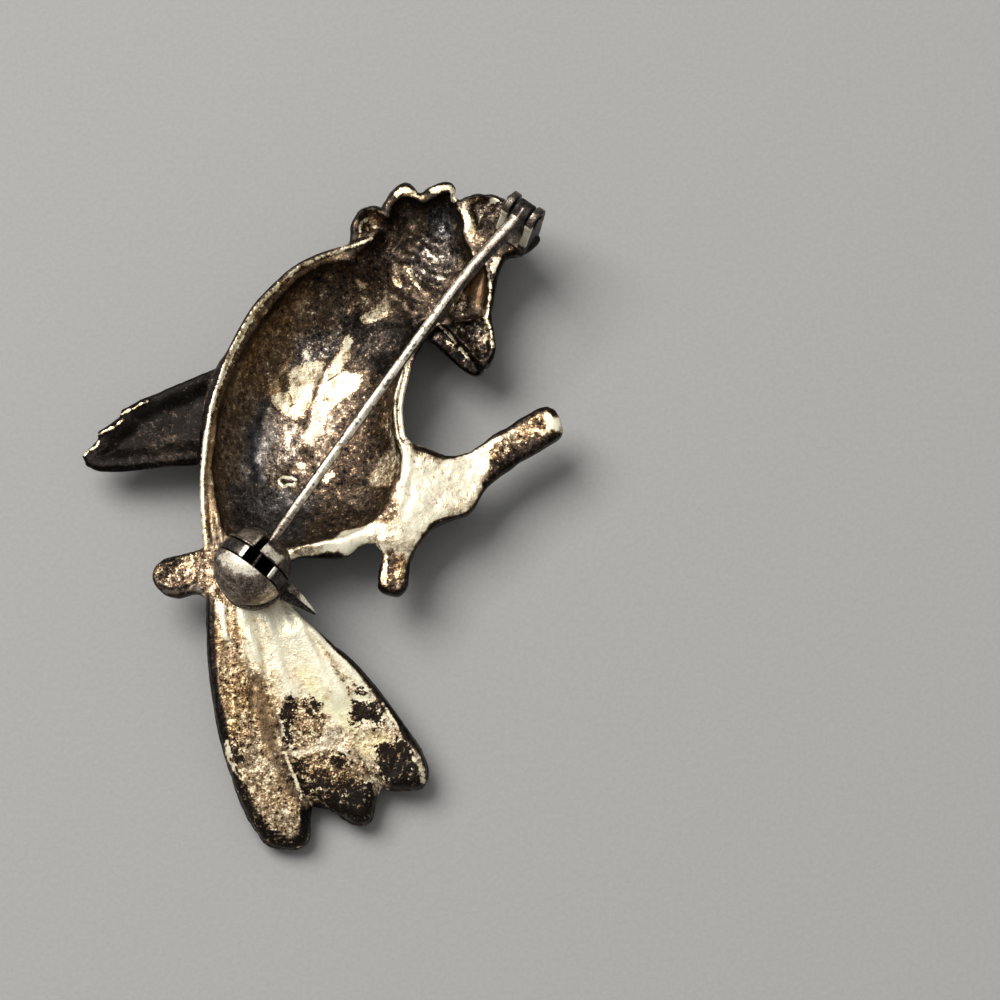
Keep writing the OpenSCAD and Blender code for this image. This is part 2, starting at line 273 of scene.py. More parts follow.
# black crust with pale grains in it, on the tail and the stub
CRUST = """
281,706 286,701 291,697.5 297,703 296,715 293.9,728 292.4,746 285,745 281.5,732;
353,703 360.3,700.8 370.3,702 380.3,710.5 383,722.6 376.9,728.6 366.3,722 358,727 348,720 350.9,714;
353.7,686.1 360,686.1 366.9,693.3 360.6,697.4 354.8,693.7;
375.4,747 385,743 392,744 398,738 408,744 415,757 419,770 424,782 416,787.1 398.2,785.9 382.3,779 377.2,763.9;
329,756 336,751 345.8,753.2 349.1,762.2 343.4,767 334,766.2;
292,765 300,760.1 308,764 304,776 316,789 311,795.2 300,792 293.2,781.5;
338,785 352,779.2 372.2,785 374.9,800.4 368,819.9 352,818.3 338,811.5 341,798;
316,797 330,800 340,808 334,812 318,806;
302,702 310,697 319,705 313,716 305,713;
305,772 316,770 330,776 341,786 345,800 334,802 322,794 308,786;
230.5,743 236,741 240,750 241,760 237,764 232.5,755;
238,778 244,784 249,799 256,812 270,826 282,837 298,838 307,824 309.5,836 299.2,852.6 272.5,848.7 256,834 244,806.1
236,782.8;
156.9,561.8 166.1,558 180,556 186,556 180.4,563.4 166.1,564.4 159,565;
174.3,579.5 178.4,579.5 178.4,583.5 174.6,583.5
""".split(";")
# dark scratches and the shaded edge of a dimple, then the two valleys of the tail
LINES = """
326.3,365.2 324.1,372.5 319.7,381.3 317,388.7 314.6,396 312.1,403.3 308.7,408.5 309.4,415.1 308,421.7 304.3,428.3;
263.9,406.3 258.4,420.9 254.3,438.6 252.9,454.7 253.7,470.8 256,478.2;
341.7,372.5 335.8,375.5 331.4,378.4 327.8,380.6;
288.9,393.1 291.8,398.9 290.3,406.3 296.2,403.3;
460.9,201.6 462.4,212.1 463.8,226.1 466.3,237.3 470.5,245.1;
257,684 263,700 269,722 276,744 287,770 297,793;
329.3,700.2 346.5,732.9 358.6,745 375.8,781.1
""".split(";")
# long ridges of the tail, raised in the relief, with a painted highlight along them
RIDGES = """
267.3,612.4 275.9,645.1 281.1,667.5 291.4,693.3;
298.3,633 313.8,655.4 325.9,670.9 337.9,693.3;
296.6,612.4 315.5,633 343.1,660.6 367.2,689.9;
222,606 223.5,622 226,636;
243,606 248,634 256,655
""".split(";")
# thin edges that are polished by handling, with a painted highlight along them
GLINTS = """
227.7,739.8 229.4,751.8 236.3,767.3 244.9,777.7;
414.5,757 421.5,769 422.5,781;
284,752 288,762.2 300,789.7 301.7,801.8;
278.6,480.4 283,477.1 290.3,477.1 296.2,479.6 294.8,484 288.9,484.8 283.7,486.7 278.6,481.1;
392.6,277.3 395.4,283 401,286.7;
484.5,261.2 487.6,268.2 489,276.9 490.8,290.7 489,301.9 487,311.7 485.2,318.7 489.4,327.1 491.8,335.6 492.9,347.1;
434,321 448,333 470,360;
447,342 449,343.5 452.2,344.7;
341,248.5 352,246.5 362,242.5 371,238.5;
360,236 359.5,229 361.5,222.5 367.5,218.5;
396.5,194 401,190.5 407,190 413.5,193.5;
431.2,191.3 441,188 450,187 453,191 454,200;
120.4,414.4 124,412.5 133,408.6 147,400.7;
97.2,435.2 107,430 116,426 123,419.5;
84,455 88.5,450.5 96,447 98.5,441;
383,704 394,722 402,737;
372.5,541.5 382,545.5 386.5,557 384.5,583;
225.5,744 228,758 234,770 242,780;
457,208 463,212 468,217
""".split(";")


def tone(row):
    """Darkness, strength of the grain, brown, blue and soft edge in mm; then the outline."""
    words = row.split()
    return *map(float, words[:5]), " ".join(words[5:])


# laid over one another in this order; most rows are tones of the tarnish, and some paint light and shade:
# the row from 238,600 is painted light over the shadow that the ball casts on the tail
# the rows from 156,584 and 305,557 are painted shade along the lower edges of the stub and the strip, and the row from
# 158,588.5 a painted reflection on the stub's side wall
# the rows from 250,680 and 274,716 are painted shade down the tail's valley, and those from 272,690 and 274,690 a
# painted highlight on the slope beside it
# the rows from 491.5,256.5 and 488,201.5, with darkness below 0, are painted highlights
TONES = [tone(row) for row in """
.58 .5 .15 .3 .8 208,380 250,360 262,410 256,480 262,540 230,540 206,500 205,430;
.78 .5 0 .5 .8 232,490 262,486 300,492 320,500 300,538 250,540 232,520;
.53 .7 .8 0 .6 262,395 268,370 284,340 300,325 306,335 300,352 290,372 284,386 270,400;
.46 .9 1 0 .3 263.9,390 268.3,383.5 277.1,376 283,369.6 288.9,361 292,365 286,376 281,388 274,396 265,395;
.68 .9 .2 .4 .6 297.7,330 343,330 340,345 330,358 312.4,360.8 297.7,363.7 290,366;
.53 .8 .3 .3 .4 262,412 277.1,412 288.9,416.5 300,424 306,436 301.4,448 296,460 286,466 277,474 268.3,482 258,489
256.5,476.7 258,459 259,438.6;
.5 .35 0 .9 .25 259,430 266,420 272,424 271,440 268,455 264,470 264,484 258,488 257,470 257.5,450;
.62 .6 .3 .1 .5 335.8,404.8 349,394.5 352.7,403.3 342.4,419.5 331.4,435.6 322.6,448.8 316.8,454.7 311.6,456.4
310.6,450.3 317.5,444.4 323.4,435.6 327.8,423.9 332.2,413.6;
.68 .6 .4 .1 .6 280,470 300,470 312,458 330,440 318,470 300,490 276,492;
.8 .6 .7 0 .7 345,425 362,405 378,425 386,460 372,485 356,500 336,500 326,485 336,455;
.27 .8 .4 0 .3 380,455 388,450 396,455 398,463 396,474 390,482 382.2,488 376,489 373,482 372,474 375,465;
.52 .6 .4 0 .4 392.3,489.9 398.9,478.2 400.4,498.7 393,510.4 379.8,520.7 360.8,527.3 369.6,519.2 382.8,509 388.6,500.2;
.74 .7 .2 .3 .6 410,262 424,240 436,226 452,224 461,240 458,262 446,282 428,284 414,280;
.82 .7 0 .7 .5 428,205 446,203 456,215 454,232 440,236 428,226;
.67 .8 .5 0 .6 348.4,276.6 368.1,279.4 389.1,289.3 393.3,310.3 386.3,322 365.3,327.7 348.4,318.7 342.8,296.3;
.3 .7 1 0 .2 391,272 396.1,273.8 400.7,280.8 402,284.5 398.9,286 393.6,282.2;
.66 .1 1 0 .3 472.5,262 478.2,260 484.9,268.2 487,279.4 487.5,290.7 485.3,304.7 481.7,309 476,304.7 471.8,290.7
469,276.6;
.62 1.2 .2 0 .25 450.8,292 463.5,289.3 470.5,303.3 469.1,313.9 457.9,317.7 449.4,307.5;
.76 .9 .3 .1 .3 466,196 486,194 502,198 500,212 486,222 478,226 470,214;
.74 1 .3 .2 .3 450,324 468,322 486,322 490,345 484,357 474,352;
.08 .35 .35 0 .6 205,600 235,600 300,604 318,624 345,660 372,700 348,720 300,704 262,694 240,668 214,650;
.12 .4 .4 0 .6 228,622 268,618 276,650 286,690 262,690 246,668 232,646;
.1 .3 .2 0 .6 284,630 300,640 322,670 332,700 305,698 293,690 284,662;
.48 1.2 1 0 1 211,628 224,636 236,652 250,668 268,682 276,700 268,716 256,730 250,748 230,748 220,700 212,670;
.44 1.2 .6 0 .5 228,740 250,735 262,740 280,770 296,800 304,822 300,834 282,838 262,824 246,795 232,765;
.45 .4 .8 0 .5 250,680 260,674 268,690 271,712 278,745 291,775 301,800 297,806 285,790 269,760 259,735 252,710;
.52 1.5 1 0 .4 282,700 300,696 324,697 332,715 325,735 312,745 296,748 288,740;
.57 1.5 .9 0 .4 290,760 310,755 330,752 350,755 352,770 366,785 340,795 310,800 300,785;
.16 .9 .8 0 .6 345,722 372,728 400,742 414,758 400,760 378,750 360,752 345,740;
.28 1.4 .9 0 .35 316,640 328,650 344,668 356,688 352,698 342,686 330,668;
.96 .4 .5 0 .3 300,812 318,800 342,808 372,808 372,830 330,822;
.7 .9 .6 0 .35 150,562 170,556 200,546 210,556 212,572 200,584 178,590 156,588;
.75 .9 .6 0 .35 158,556 184,554 205,546 206,554 190,561 168,566 156,566;
.62 1.1 .9 0 .3 162,572 174,572 186,580 180,588 166,584;
.62 1.4 .9 0 .3 484,453 500,441 520,427 534,417 544,416 547,427 530,441 511,454 496,465;
.5 1.2 .9 0 .3 396,553 403,553 406,562 404,586 397,586 395,570;
.6 .6 .9 0 .2 443,497 450,495 456,497 456,503 449,506 443,503;
.25 1 .3 0 .4 404,436 414,438 424,448 440,458 440,464 425,460 410,452;
.55 1.2 .6 0 .4 196,548 212,540 222,552 216,570 222,590 238,602 236,610 224,604 210,592 204,576 208,562;
.93 .5 .4 .1 .6 340,322 352,312 372,316 398,322 420,318 432,330 425,350 405,372 385,380 366,362 352,345;
.88 1.1 .8 0 .3 495,461 504,451 514,445 526,437 538,430 544,433 530,446 514,457 500,468;
.04 .35 0 0 .5 398,452 415,456 440,462 470,456 486,444 492,452 482,474 462,496 440,516 425,534 412,534 398,520 395,500
402,480;
.72 1.1 .6 0 .35 150,562 158,552 180,552 196,548 204,560 206,590 196,597 168,596 154,586;
.56 .9 .5 0 .35 186,560 204,556 212,566 210,586 200,594 186,588;
.84 .8 .9 0 .3 383,552 391,548 396,556 396,570 394,590 384,588;
-.2 0 0 0 .1 491.5,256.5 499,257.5 499.5,265 496,273.5 491.5,273 491,264;
-.1 .3 0 0 .15 488,201.5 495,199 497.5,203 494,208 488,207;
-.15 .2 .1 0 .25 542,414 549,411 556,412 561,418 563,426 558,432 552,430 546,422;
.97 .3 .4 0 .15 156,584 168,586.5 180,585 197,583.5 198,586 182,588.5 168,590 157,587.5;
.48 .3 0 .4 .15 158,588.5 170,591 184,589.5 198,587 201,593 186,597 170,597 161,593;
.95 .6 .4 0 .2 424,331 436,324 446,328 460,342 476,360 484,370 482,378 470,378 450,364 430,348;
.98 .3 .8 0 .6 126,446 134,434 150,428 166,430 178,438 192,448 198,456 180,462 150,464 130,458;
.58 1.1 .9 0 .5 207,622 222,632 231,650 227,672 216,676 210,652;
-.05 .3 0 0 .3 318,551 330,544 345,535 356,530 372,524 366,540 350,556 330,556;
.66 .5 .3 .2 .4 212,545 226,542 240,548 232,562 214,560;
.4 1 .2 0 .3 382,420 390,405 398,420 402,448 394,452 386,440;
-.1 .3 0 0 .4 238,600 262,608 290,606 297,613 286,622 262,620 244,612;
.16 .4 .3 0 .25 272,690 278,700 281,730 286,752 300,785 303,798 297,794 285,768 276,740 272,712;
.3 .8 .3 0 .4 384,428 392,436 399,452 402,476 398,490 390,490 395,462 388,446;
.95 .4 .4 .1 .15 305,557 318,553.5 332,553.5 352,555 362,549 366,553 352,562 330,561 306,562;
.3 .7 .8 0 .25 404,190 414,190 424,195 424,200.5 413,200 404,196;
.58 .8 .4 0 .4 361,226 363,216 370,211 380,214 384,222 372,230 362,238;
.7 .7 .4 .1 .6 370,240 392,232 398,256 394,286 380,290 370,270;
0 .3 1 0 .8 300,640 318,655 336,684 352,700 366,716 360,728 336,724 318,706 306,690 296,664;
.1 .6 1 0 .8 366,738 384,742 398,752 392,764 372,758 356,752;
.9 .6 .5 0 .3 480,496 486,484 490,470 495,462 500,466 494,478 490,488 487,499;
.35 1.2 .5 0 .3 464,201 474,197 482,197 482,202 474,204 467,208;
.5 1.2 .5 0 .3 468,218 474,222 480,232 481,238 475,243 470,236 467,226;
.15 1 .6 0 .3 484,311 490,311 492,322 494,332 489,335 485,330;
.3 .8 .6 0 .4 274,690 281,694 279,706 281,730 286,752 293,768 287,764 277,742 271,716;
.42 .6 .1 .5 .5 256,410 268,406 276,418 275,450 266,470 258,468;
.58 .8 .6 0 .35 274,716 280,724 287,746 297,772 303,796 300,804 292,796 282,774 276,750 272,730;
.48 .7 .6 0 .4 450,284 466,268 474,262 474,285 468,296 454,302;
.5 1.4 .8 0 .3 352,762 372,766 386,776 388,786 376,784 360,776 350,772;
.6 .7 .5 0 .3 380,500 394,502 396,514 384,524 374,520;
.58 .5 .6 0 1 240,335 258,305 285,285 318,290 300,335 272,378 252,400 238,390;
.46 .8 .8 0 .5 211,612 224,607 238,612 243,640 240,664 217,662;
.5 .8 .7 0 .3 203,503 212,503 213,540 222,556 205,556
""".split(";")]

# ---------------------------------------------------------------- outlines of the cast forms, in mm
BODY = outline("""
3.2,21 2.2,20.7 1.35,20.41 0.5,20.1 -0.62,19.64 -2.34,18.58 -3.85,17.13 -5.17,15.61 -6.08,14.09 -6.97,12.27 -7.54,10.96
-7.97,9.54 -8.4,7.9 -8.8,5 -9,2.6 -9,0.1 -8.9,-1.1 -8.7,-3.3 -8.6,-5 -7.5,-6 -5,-5.6 -2.6,-4.6 -0.9,-4 0.6,-4.1
2.2,-3.9 2.9,-3.2 3.7,-2.9 5,-2.4 6,-1 6.6,1 7,3 6.96,4.47 6.5,5.16 6.34,6 6.28,7.5 6.7,9.7 7.15,11.4 7.6,12.3 8.2,13.6
9,17 7.5,20 5,21
""")
HEAD = outline("""
1.9,20.4 2.13,21.4 2.12,22.1 2.3,22.7 2.6,23.15 3.14,23.6 3.75,23.75 4.2,23.7 4.5,23.5 4.7,24 5,24.5 5.45,25.1
5.97,25.57 6.5,25.6 6.9,25.3 7.2,24.87 7.5,24.83 8.2,25.27 9.05,25.65 9.8,25.65 10.06,25.3 10.1,24.5 10.45,24.2
11,24.45 11.5,24.65 12.5,24.72 13.6,24.5 14.8,23.4 15.8,22 16.7,21.15 16.4,20.7 15.9,20.3 15.1,20 14.3,19.8 13.95,19.6
13.8,19.2 13.5,18.4 13.28,17.35 13.1,16.2 12.95,14.9 13.15,13.75 13.27,12.3 12.95,11.3 12.4,10.6 11.7,10.4 10.8,10.85
9.75,11.75 8.9,12.6 8.3,13.1 7.6,13.2 6,12 3,13 0,16 1,19
""")
TAIL_LEFT = outline("""
-8.3,-4 -8.3,-7.3 -8.3,-10 -8.08,-12.6 -7.62,-16 -6.92,-18.7 -6.08,-21.3 -4.6,-24.25 -3.85,-25.2 -2.7,-25.55
-1.6,-25.55 -0.8,-25.1 -0.6,-23.4 -0.6,-22.2 -1.4,-20.5 -2.3,-18 -3.3,-15.4 -4,-12.3 -4.2,-8 -4.2,-4
""")
TAIL_MIDDLE = outline("""
-6.8,-4 -6.8,-8 -6.2,-11 -5.2,-13 -3.8,-15.9 -2.6,-18.5 -1.3,-21.5 -0.2,-22.4 0.8,-22.6 2,-23.4 3,-23.8 3.8,-23.7
4.2,-22.3 4.6,-21.1 3.9,-18.6 2.8,-15.5 1.2,-12.4 -0.9,-10 -2.5,-8 -3.2,-4
""")
TAIL_RIGHT = outline("""
-4.5,-5 -4,-9 -2.5,-12 -0.4,-15 1.8,-17.8 4.3,-20.8 5.2,-21.2 6.4,-21.25 7.7,-21.1 8.15,-20.3 8.05,-19.2 6.65,-16.85
4.65,-14.25 2.5,-11.9 0.3,-10.1 -1.4,-8.6 -2.6,-7 -3.2,-5
""")
BRANCH = outline("""
5,4.6 6.7,4.4 7.9,4.1 9.5,3.6 11.3,4.1 12.8,5.2 14.7,6.4 16.3,7.4 17,7.65 17.6,7.5 18.15,6.7 18.3,6.1 18.15,5.4
17.4,4.82 16.7,4.28 14.75,3.13 13.2,1.95 12.45,0.97 12,0.2 11.2,-0.7 10,-1.1 8.8,-1.6 8,-2.4 7.1,-3.7 6.8,-5.4 6.6,-6.5
6,-7 5.4,-6.95 4.6,-6.5 4.4,-5.8 4.5,-5.1 4.75,-4.2 4.7,-3.7 4.4,-3 3.7,-2.9 2.9,-3.2 2.2,-3.9 1.5,-4.1 0.6,-4.1
-0.9,-4 -1.7,-3.8 -1.4,-3.3 0.6,-2.8 3.2,-1.9 4.6,-1 5.6,0.6 5.6,2.5
""")
STUB = outline("""
-7.6,-3.2 -9.3,-3.6 -10.6,-3.9 -12,-4.4 -12.5,-5.2 -12.35,-6 -11.8,-6.7 -11.2,-7.05 -9.1,-6.9 -7.6,-7.2
""")
WING = points("""
-6.33,11.63 -7.89,10.96 -10.59,9.9 -13.69,8.65 -15.38,7.84 -15.3,7.28 -17.1,6.12 -17.03,5.56 -18.32,4.22 -18.06,3.81
-17.98,3.4 -17.17,3.06 -15.13,3.03 -9.29,3.44 -6.33,3.6
""")

# Stations along Y: half width, back and front height of the body; back and front height of the tail.
# Stations along X: front height of the head; back and front height of the wing
BODY_Y = [-5.2, -4.1, -3, -1.5, 0, 3, 5.5, 7.5, 9.5, 11.5, 14, 17, 19, 20.7]
BODY_HALF = [3.6, 4.5, 6, 7, 7.6, 7.8, 7.5, 7.2, 7.2, 7.2, 6.9, 6.2, 5.2, 3]
BODY_BACK = [5.3, 5.4, 5.6, 5.8, 5.9, 6, 6, 6, 6, 6, 6, 6, 5.9, 5.4]
BODY_FRONT = [2.9, 2.5, 2, 1.4, 0.9, 0.35, 0.15, 0.05, 0.05, 0.1, 0.25, 0.6, 1.1, 3.2]
TAIL_Y = [-25.7, -23.4, -21.3, -18.7, -16, -12.6, -10, -7.3, -4]
TAIL_BACK = [2.2, 2.7, 3.05, 3.5, 3.95, 4.5, 4.9, 5.2, 5.3]
TAIL_FRONT = [0.2, 0.05, 0.3, 0.6, 1.1, 1.7, 2.2, 2.6, 3.0]
HEAD_X = [2, 2.8, 3.7, 4.6, 5.4, 6.3, 7.4, 8.4, 9.4, 11.3, 12.2, 12.9, 13.3, 13.7, 14.6, 15.6, 16.7]
HEAD_FRONT = [3.2, 2.2, 1.6, 1.2, 1, 0.7, 0.4, 0.15, 0.05, 0.05, 0.2, 0.5, 0.9, 1.4, 2.2, 2.8, 3.6]
WING_X = [-18.4, -17.2, -15.5, -13.4, -10.9, -8.5, -6.5]
WING_BACK = [3.6, 3.8, 4.05, 4.3, 4.55, 4.75, 4.9]
WING_FRONT = [2.9, 2.7, 2.7, 2.8, 2.9, 2.9, 2.9]

FIELD = np.full((len(GX), len(GY), len(GZ)), -1.0, np.float32)
HEIGHTS = GZ[None, None, :].astype(np.float32)
CAST_ROUND, HOLLOW_ROUND = 2.3, 2.2  # exponents of the rounding of forms and of hollows


def window(d, margin):
    """The part of the grid where a form is."""
    i, j = np.nonzero(d > -margin)
    return slice(max(i.min() - 1, 0), i.max() + 2), slice(max(j.min() - 1, 0), j.max() + 2)


def shell(d, reach, drop, over, p):
    """Depth below a rounded-over surface: d is the distance inside the outline, reach the width of its rounding,
    drop its height, and over the height past the edge. Positive inside, about in mm near the surface."""
    a = np.clip(1 - d / reach, 0, 3).astype(np.float32)
    w = np.clip(over / drop, 1e-3, 3)
    n = np.power(a**p + w**p, 1 / p)
    slope = np.sqrt(((a / n) ** (p - 1) / reach) ** 2 + ((w / n) ** (p - 1) / drop) ** 2)
    return (1 - n) / slope + np.maximum(-over, 0)


def columns(win, *maps):
    """Maps or numbers, ready to be combined with the heights over a window."""
    return [np.broadcast_to(a, PX.shape)[win][:, :, None].astype(np.float32) for a in maps]


def add(blend, d, reach, edge, front, crown, bevel, front_relief, back_relief):
    """A cast form. edge is the height at which back and front meet, and crown the back's height above it."""
    win = window(d, 0.9)
    below, deep, z = columns(win, d, edge - front, edge)
    reach, crown, bevel, front_relief, back_relief = columns(win, reach, crown, bevel, front_relief, back_relief)
    low = shell(below, reach, deep, z - HEIGHTS, CAST_ROUND) + front_relief
    top = shell(below, bevel, crown, HEIGHTS - z, CAST_ROUND) + back_relief
    FIELD[win] = smooth_max(FIELD[win], np.clip(np.minimum(low, top), -1, FAR), blend)


def carve(blend, d, reach, rim, floor, relief):
    """A bowl that is cut down from the rim. relief raises its floor."""
    win = window(d, 0.7)
    d, reach, deep, rim, relief = columns(win, d, reach, rim - floor, rim, relief)
    bowl = shell(d, reach, deep, rim - HEIGHTS, HOLLOW_ROUND) - relief
    FIELD[win] = smooth_min(FIELD[win], -np.clip(bowl, -1, FAR), blend)


def floor_at(d, reach, rim, floor):
    """Height of such a bowl's floor."""
    return rim - (rim - floor) * (1 - np.clip(1 - d / reach, 0, 1) ** HOLLOW_ROUND) ** (1 / HOLLOW_ROUND)


def over_y(stations, values):
    return np.interp(PY, stations, values)


def over_x(stations, values):
    return np.interp(PX, stations, values)


def grid_by(poly, margin=2.0):
    """inside_by on the grid, worked out only near the outline's box."""
    lo, hi = poly.min(0) - margin, poly.max(0) + margin
    i = slice(*np.searchsorted(GX, (lo[0], hi[0])))
    j = slice(*np.searchsorted(GY, (lo[1], hi[1])))
    d = np.full(PX.shape, -margin)
    d[i, j] = inside_by(poly, PX[i, j], PY[i, j])
    return d


def mm_at(text, z):
    """Pixels of the picture as mm points at one height."""
    u, v = points(text).T
    ax, ay = (u - CENTRE) / PICTURE / FOCAL, (CENTRE - v) / PICTURE / FOCAL
    t = (z - TARGET[2] - DISTANCE * SIN) / (-SIN + ay * COS)
    return np.stack([TARGET[0] + t * ax, TARGET[1] - DISTANCE * COS + t * (COS + ay * SIN)], 1)


def in_picture(texts, x, y, z, distance, pick, far):
    u, v = photo_px(x, y, z)
    best = np.full(u.shape, far)
    for text in texts:
        p = points(text)
        (u0, v0), (u1, v1) = p.min(0) - 40, p.max(0) + 40
        close = (u > u0) & (u < u1) & (v > v0) & (v < v1)
        best[close] = pick(best[close], distance(p, u[close], v[close]) / PX_A_MM)
    return best


def seen(outlines, x, y, z):
    """Signed distance in mm, in the picture's plane, to the nearest of some outlines, positive inside."""
    return in_picture(outlines, x, y, z, inside_by, np.maximum, -FAR)


def near(lines, x, y, z):
    """Distance in mm, in the picture's plane, to the nearest of some lines."""
    return in_picture(lines, x, y, z, line_by, np.minimum, FAR)


# The parts of the tables that shape the mesh, or have a finish of their own
BOWL_PATCHES, HEAD_PATCHES, THIN_PATCHES, OTHER_PATCHES = CLEAN_AND_LIT[:5], CLEAN_AND_LIT[6:12], CLEAN_AND_LIT[9:12], CLEAN_AND_LIT[:9] + CLEAN_AND_LIT[12:]
SCRATCHES, DIMPLE_EDGE, VALLEY, SMALL_VALLEY = LINES[:1] + LINES[2:4], LINES[1:2], LINES[5:6], LINES[6:7]
DARK_LINES = LINES[:1] + LINES[2:5]
OVAL, TAIL_EDGE, CREST_EDGE, FEATHER_EDGES = GLINTS[3:4], GLINTS[1:2], GLINTS[10:12], GLINTS[12:15]
OTHER_GLINTS = GLINTS[:10] + GLINTS[15:]
DENT, CRUMPLE = TONES[15][-1:], TONES[17][-1:]
NAPE_FOLD = ["346,250 354,247.5 362,244.5 371,240 378,234"]

# Outlines in the back that are sunk or raised, measured in the picture at the height of the rim
HIGH_RIM, LOW_RIM = 5.2, 4.6
HEAD_HOLLOW = curve(mm_at("""
361,224 361,216 366,211 374,211 382,216 389,219 393,210 398,200 405,195.5 413,197 421,203.5 431,199 441,194 450,193
454,200 458,207 461.5,216 463,228 466,243 472,252 474,262 466,275 460,290 452,305 441,322 425,335 400,345 370,345
352,320 350,280 357,256 359,240
""", HIGH_RIM))
FACE_HOLLOW = curve(mm_at("""
484,264 488,268 489,280 487.5,295 486,308 484,316 470,318 455,320 447,314 455,300 468,282 478,268
""", HIGH_RIM))
BEAK_HOLLOW = curve(mm_at("450,322 470,320 484,318 489,326 491,340 491,349 485,357 480,360 470,348 458,334", HIGH_RIM))
LOWER_BEAK = curve(mm_at("428,332 437,326 444,327 459,341.5 482,367 483,376 470,376 450,362 430,346", LOW_RIM))
CREST_PIT = curve(mm_at("468,199 480,196 492,197 500,203 494,212 486,220 480,232 474,226 471,214 468,206", HIGH_RIM))
BOWL = outline("""
7.4,12.4 6.8,11.2 6.2,10.4 5.9,9.6 5.55,7.5 5.65,6 5.9,4.8 6.1,3.9 6.1,3 5.9,1.9 5.45,0.9 5.05,-0.1 4.6,-1 3.6,-1.8
2,-2.6 0.1,-3.05 -1.4,-3.35 -3.2,-3.6 -5.4,-3.5 -6.8,-2.6 -7.5,-1 -7.9,0.6 -8.1,2.6 -8,5 -7.6,7.9 -7.2,9.3 -6.7,10.6
-6.1,11.8 -5.2,13.6 -4.3,15 -3,16.6 -1.6,17.9 -0.1,18.9 1.2,19.3 3,19 6,18 8.3,15
""")
FRONT_WING = outline("""
3.6,12.2 1.4,14.4 -2.4,15 -5.4,13.6 -7.8,11.4 -10.7,9.95 -13.2,8.85 -15.3,7.75 -17.1,5.75 -18.2,3.95 -16.9,2.8
-11.6,3.05 -6,2.6 -1.5,3.1 2.2,5.6 4,9
""")

d_body = grid_by(BODY, 5.0)
d_head, d_left, d_middle, d_right = (grid_by(o) for o in (HEAD, TAIL_LEFT, TAIL_MIDDLE, TAIL_RIGHT))
d_branch, d_stub, d_wing, d_front_wing = (grid_by(o) for o in (BRANCH, STUB, WING, FRONT_WING))
d_bowl, d_head_hollow, d_face = (grid_by(o) for o in (BOWL, HEAD_HOLLOW, FACE_HOLLOW))
d_beak, d_lower_beak, d_pit = (grid_by(o) for o in (BEAK_HOLLOW, LOWER_BEAK, CREST_PIT))


# ---------------------------------------------------------------- relief of the front, which lies face down
def repeat(a):
    """Place within a pattern that repeats every 1, from 0 to 1."""
    return a - np.floor(a)


def shingles(along, across, length, width):
    """Overlapping round-ended feathers: height from 0 to 1, a row every half length."""
    best = np.zeros(along.shape)
    for shift in (0.0, 0.5):
        c = repeat(across / width + shift) - 0.5
        s = repeat(along / length + shift + 1.3 * c * c)
        best = np.maximum(best, s * np.clip(1.25 - 3 * c * c, 0, 1))
    return best


def ribs(across, width):
    """Grooves every width, with a rounded ridge between them, from 0 to 1."""
    return np.sqrt(np.clip(1 - (2 * repeat(across / width) - 1) ** 2, 0, 1))


wing_along = -(PX - 2) * 0.93 - (PY - 11) * 0.37
wing_across = -(PX - 2) * 0.37 + (PY - 11) * 0.93
quilled = step(wing_along, 5, 8)
quills = ribs(wing_across - 0.045 * wing_along**2 * 0.3, 1.25) * quilled
coverts = shingles(wing_along, wing_across, 2.6, 1.9) * (1 - quilled)
on_wing = step(d_front_wing, 0, 0.35)
down = shingles(19 - PY + 0.02 * PX**2, PX, 2.2, 1.7)
front_body = 0.26 * on_wing + 0.13 * (quills + coverts) * on_wing + 0.12 * down * (1 - on_wing) * step(d_body, 0.4, 1.6)

crest_angle = np.arctan2(PY - 17.5, PX - 11)
crest_ribs = ribs(crest_angle * 6.5, 1.0) * step(PY + 0.35 * PX, 23.6, 25) * step(17 - PX, 0, 2)
from_eye = np.hypot(PX - 10.3, PY - 17.6)
front_head = (
    0.14 * crest_ribs
    + 0.3 * bump_at(from_eye, 0.55)
    - 0.12 * bump_at(from_eye - 0.95, 0.16)
    - 0.25 * bump_at(line_by(points("8.6,14.2 10.2,13.6 11.6,12.2 12.6,10.8"), PX, PY), 0.2)
    - 0.15 * bump_at(line_by(points("9.3,15.6 11.2,15.9 13.2,15.2"), PX, PY), 0.16)
    + 0.07 * shingles(21 - PY, PX, 1.5, 1.2) * step(from_eye, 1.2, 2.0) * step(PY, 14.5, 16)
)
tail_fan = np.degrees(np.arctan2(PX + 6.5, -(PY - 3)))
front_tail = 0.12 * ribs(tail_fan, 4.2) + 0.05 * ribs(tail_fan, 1.05)
bark = noise(PX * 0.25 + PY * 0.1, PY * 0.9 - PX * 0.5, 0.5, 5)
front_branch = 0.10 * bark + 0.06 * noise(PX, PY, 0.9, 6)

# ---------------------------------------------------------------- relief of the back
back_tail = over_y(TAIL_Y, TAIL_BACK)
ridge_z = back_tail + 0.3
grain = noise(PX, PY, 0.32, 11) * 0.02 + noise(PX, PY, 0.8, 12) * 0.03
tail_relief = (
    0.16 * bump_at(near(RIDGES[:1], PX, PY, ridge_z), 0.5)
    + 0.16 * bump_at(near(RIDGES[1:2], PX, PY, ridge_z), 0.95)
    + 0.1 * bump_at(near(RIDGES[2:], PX, PY, ridge_z), 0.3)
    - 0.17 * bump_at(near(VALLEY, PX, PY, back_tail), 0.5)
    - 0.12 * bump_at(near(SMALL_VALLEY, PX, PY, back_tail), 0.4)
    + 0.05 * noise(tail_fan, PY * 0.12, 1.4, 13)
    + grain * (0.3 + 0.7 * step(-PY, 12, 16))
)
fade = 0.35 + 0.65 * step(-PY, 9, 19)
tail_crown = 0.8 * fade

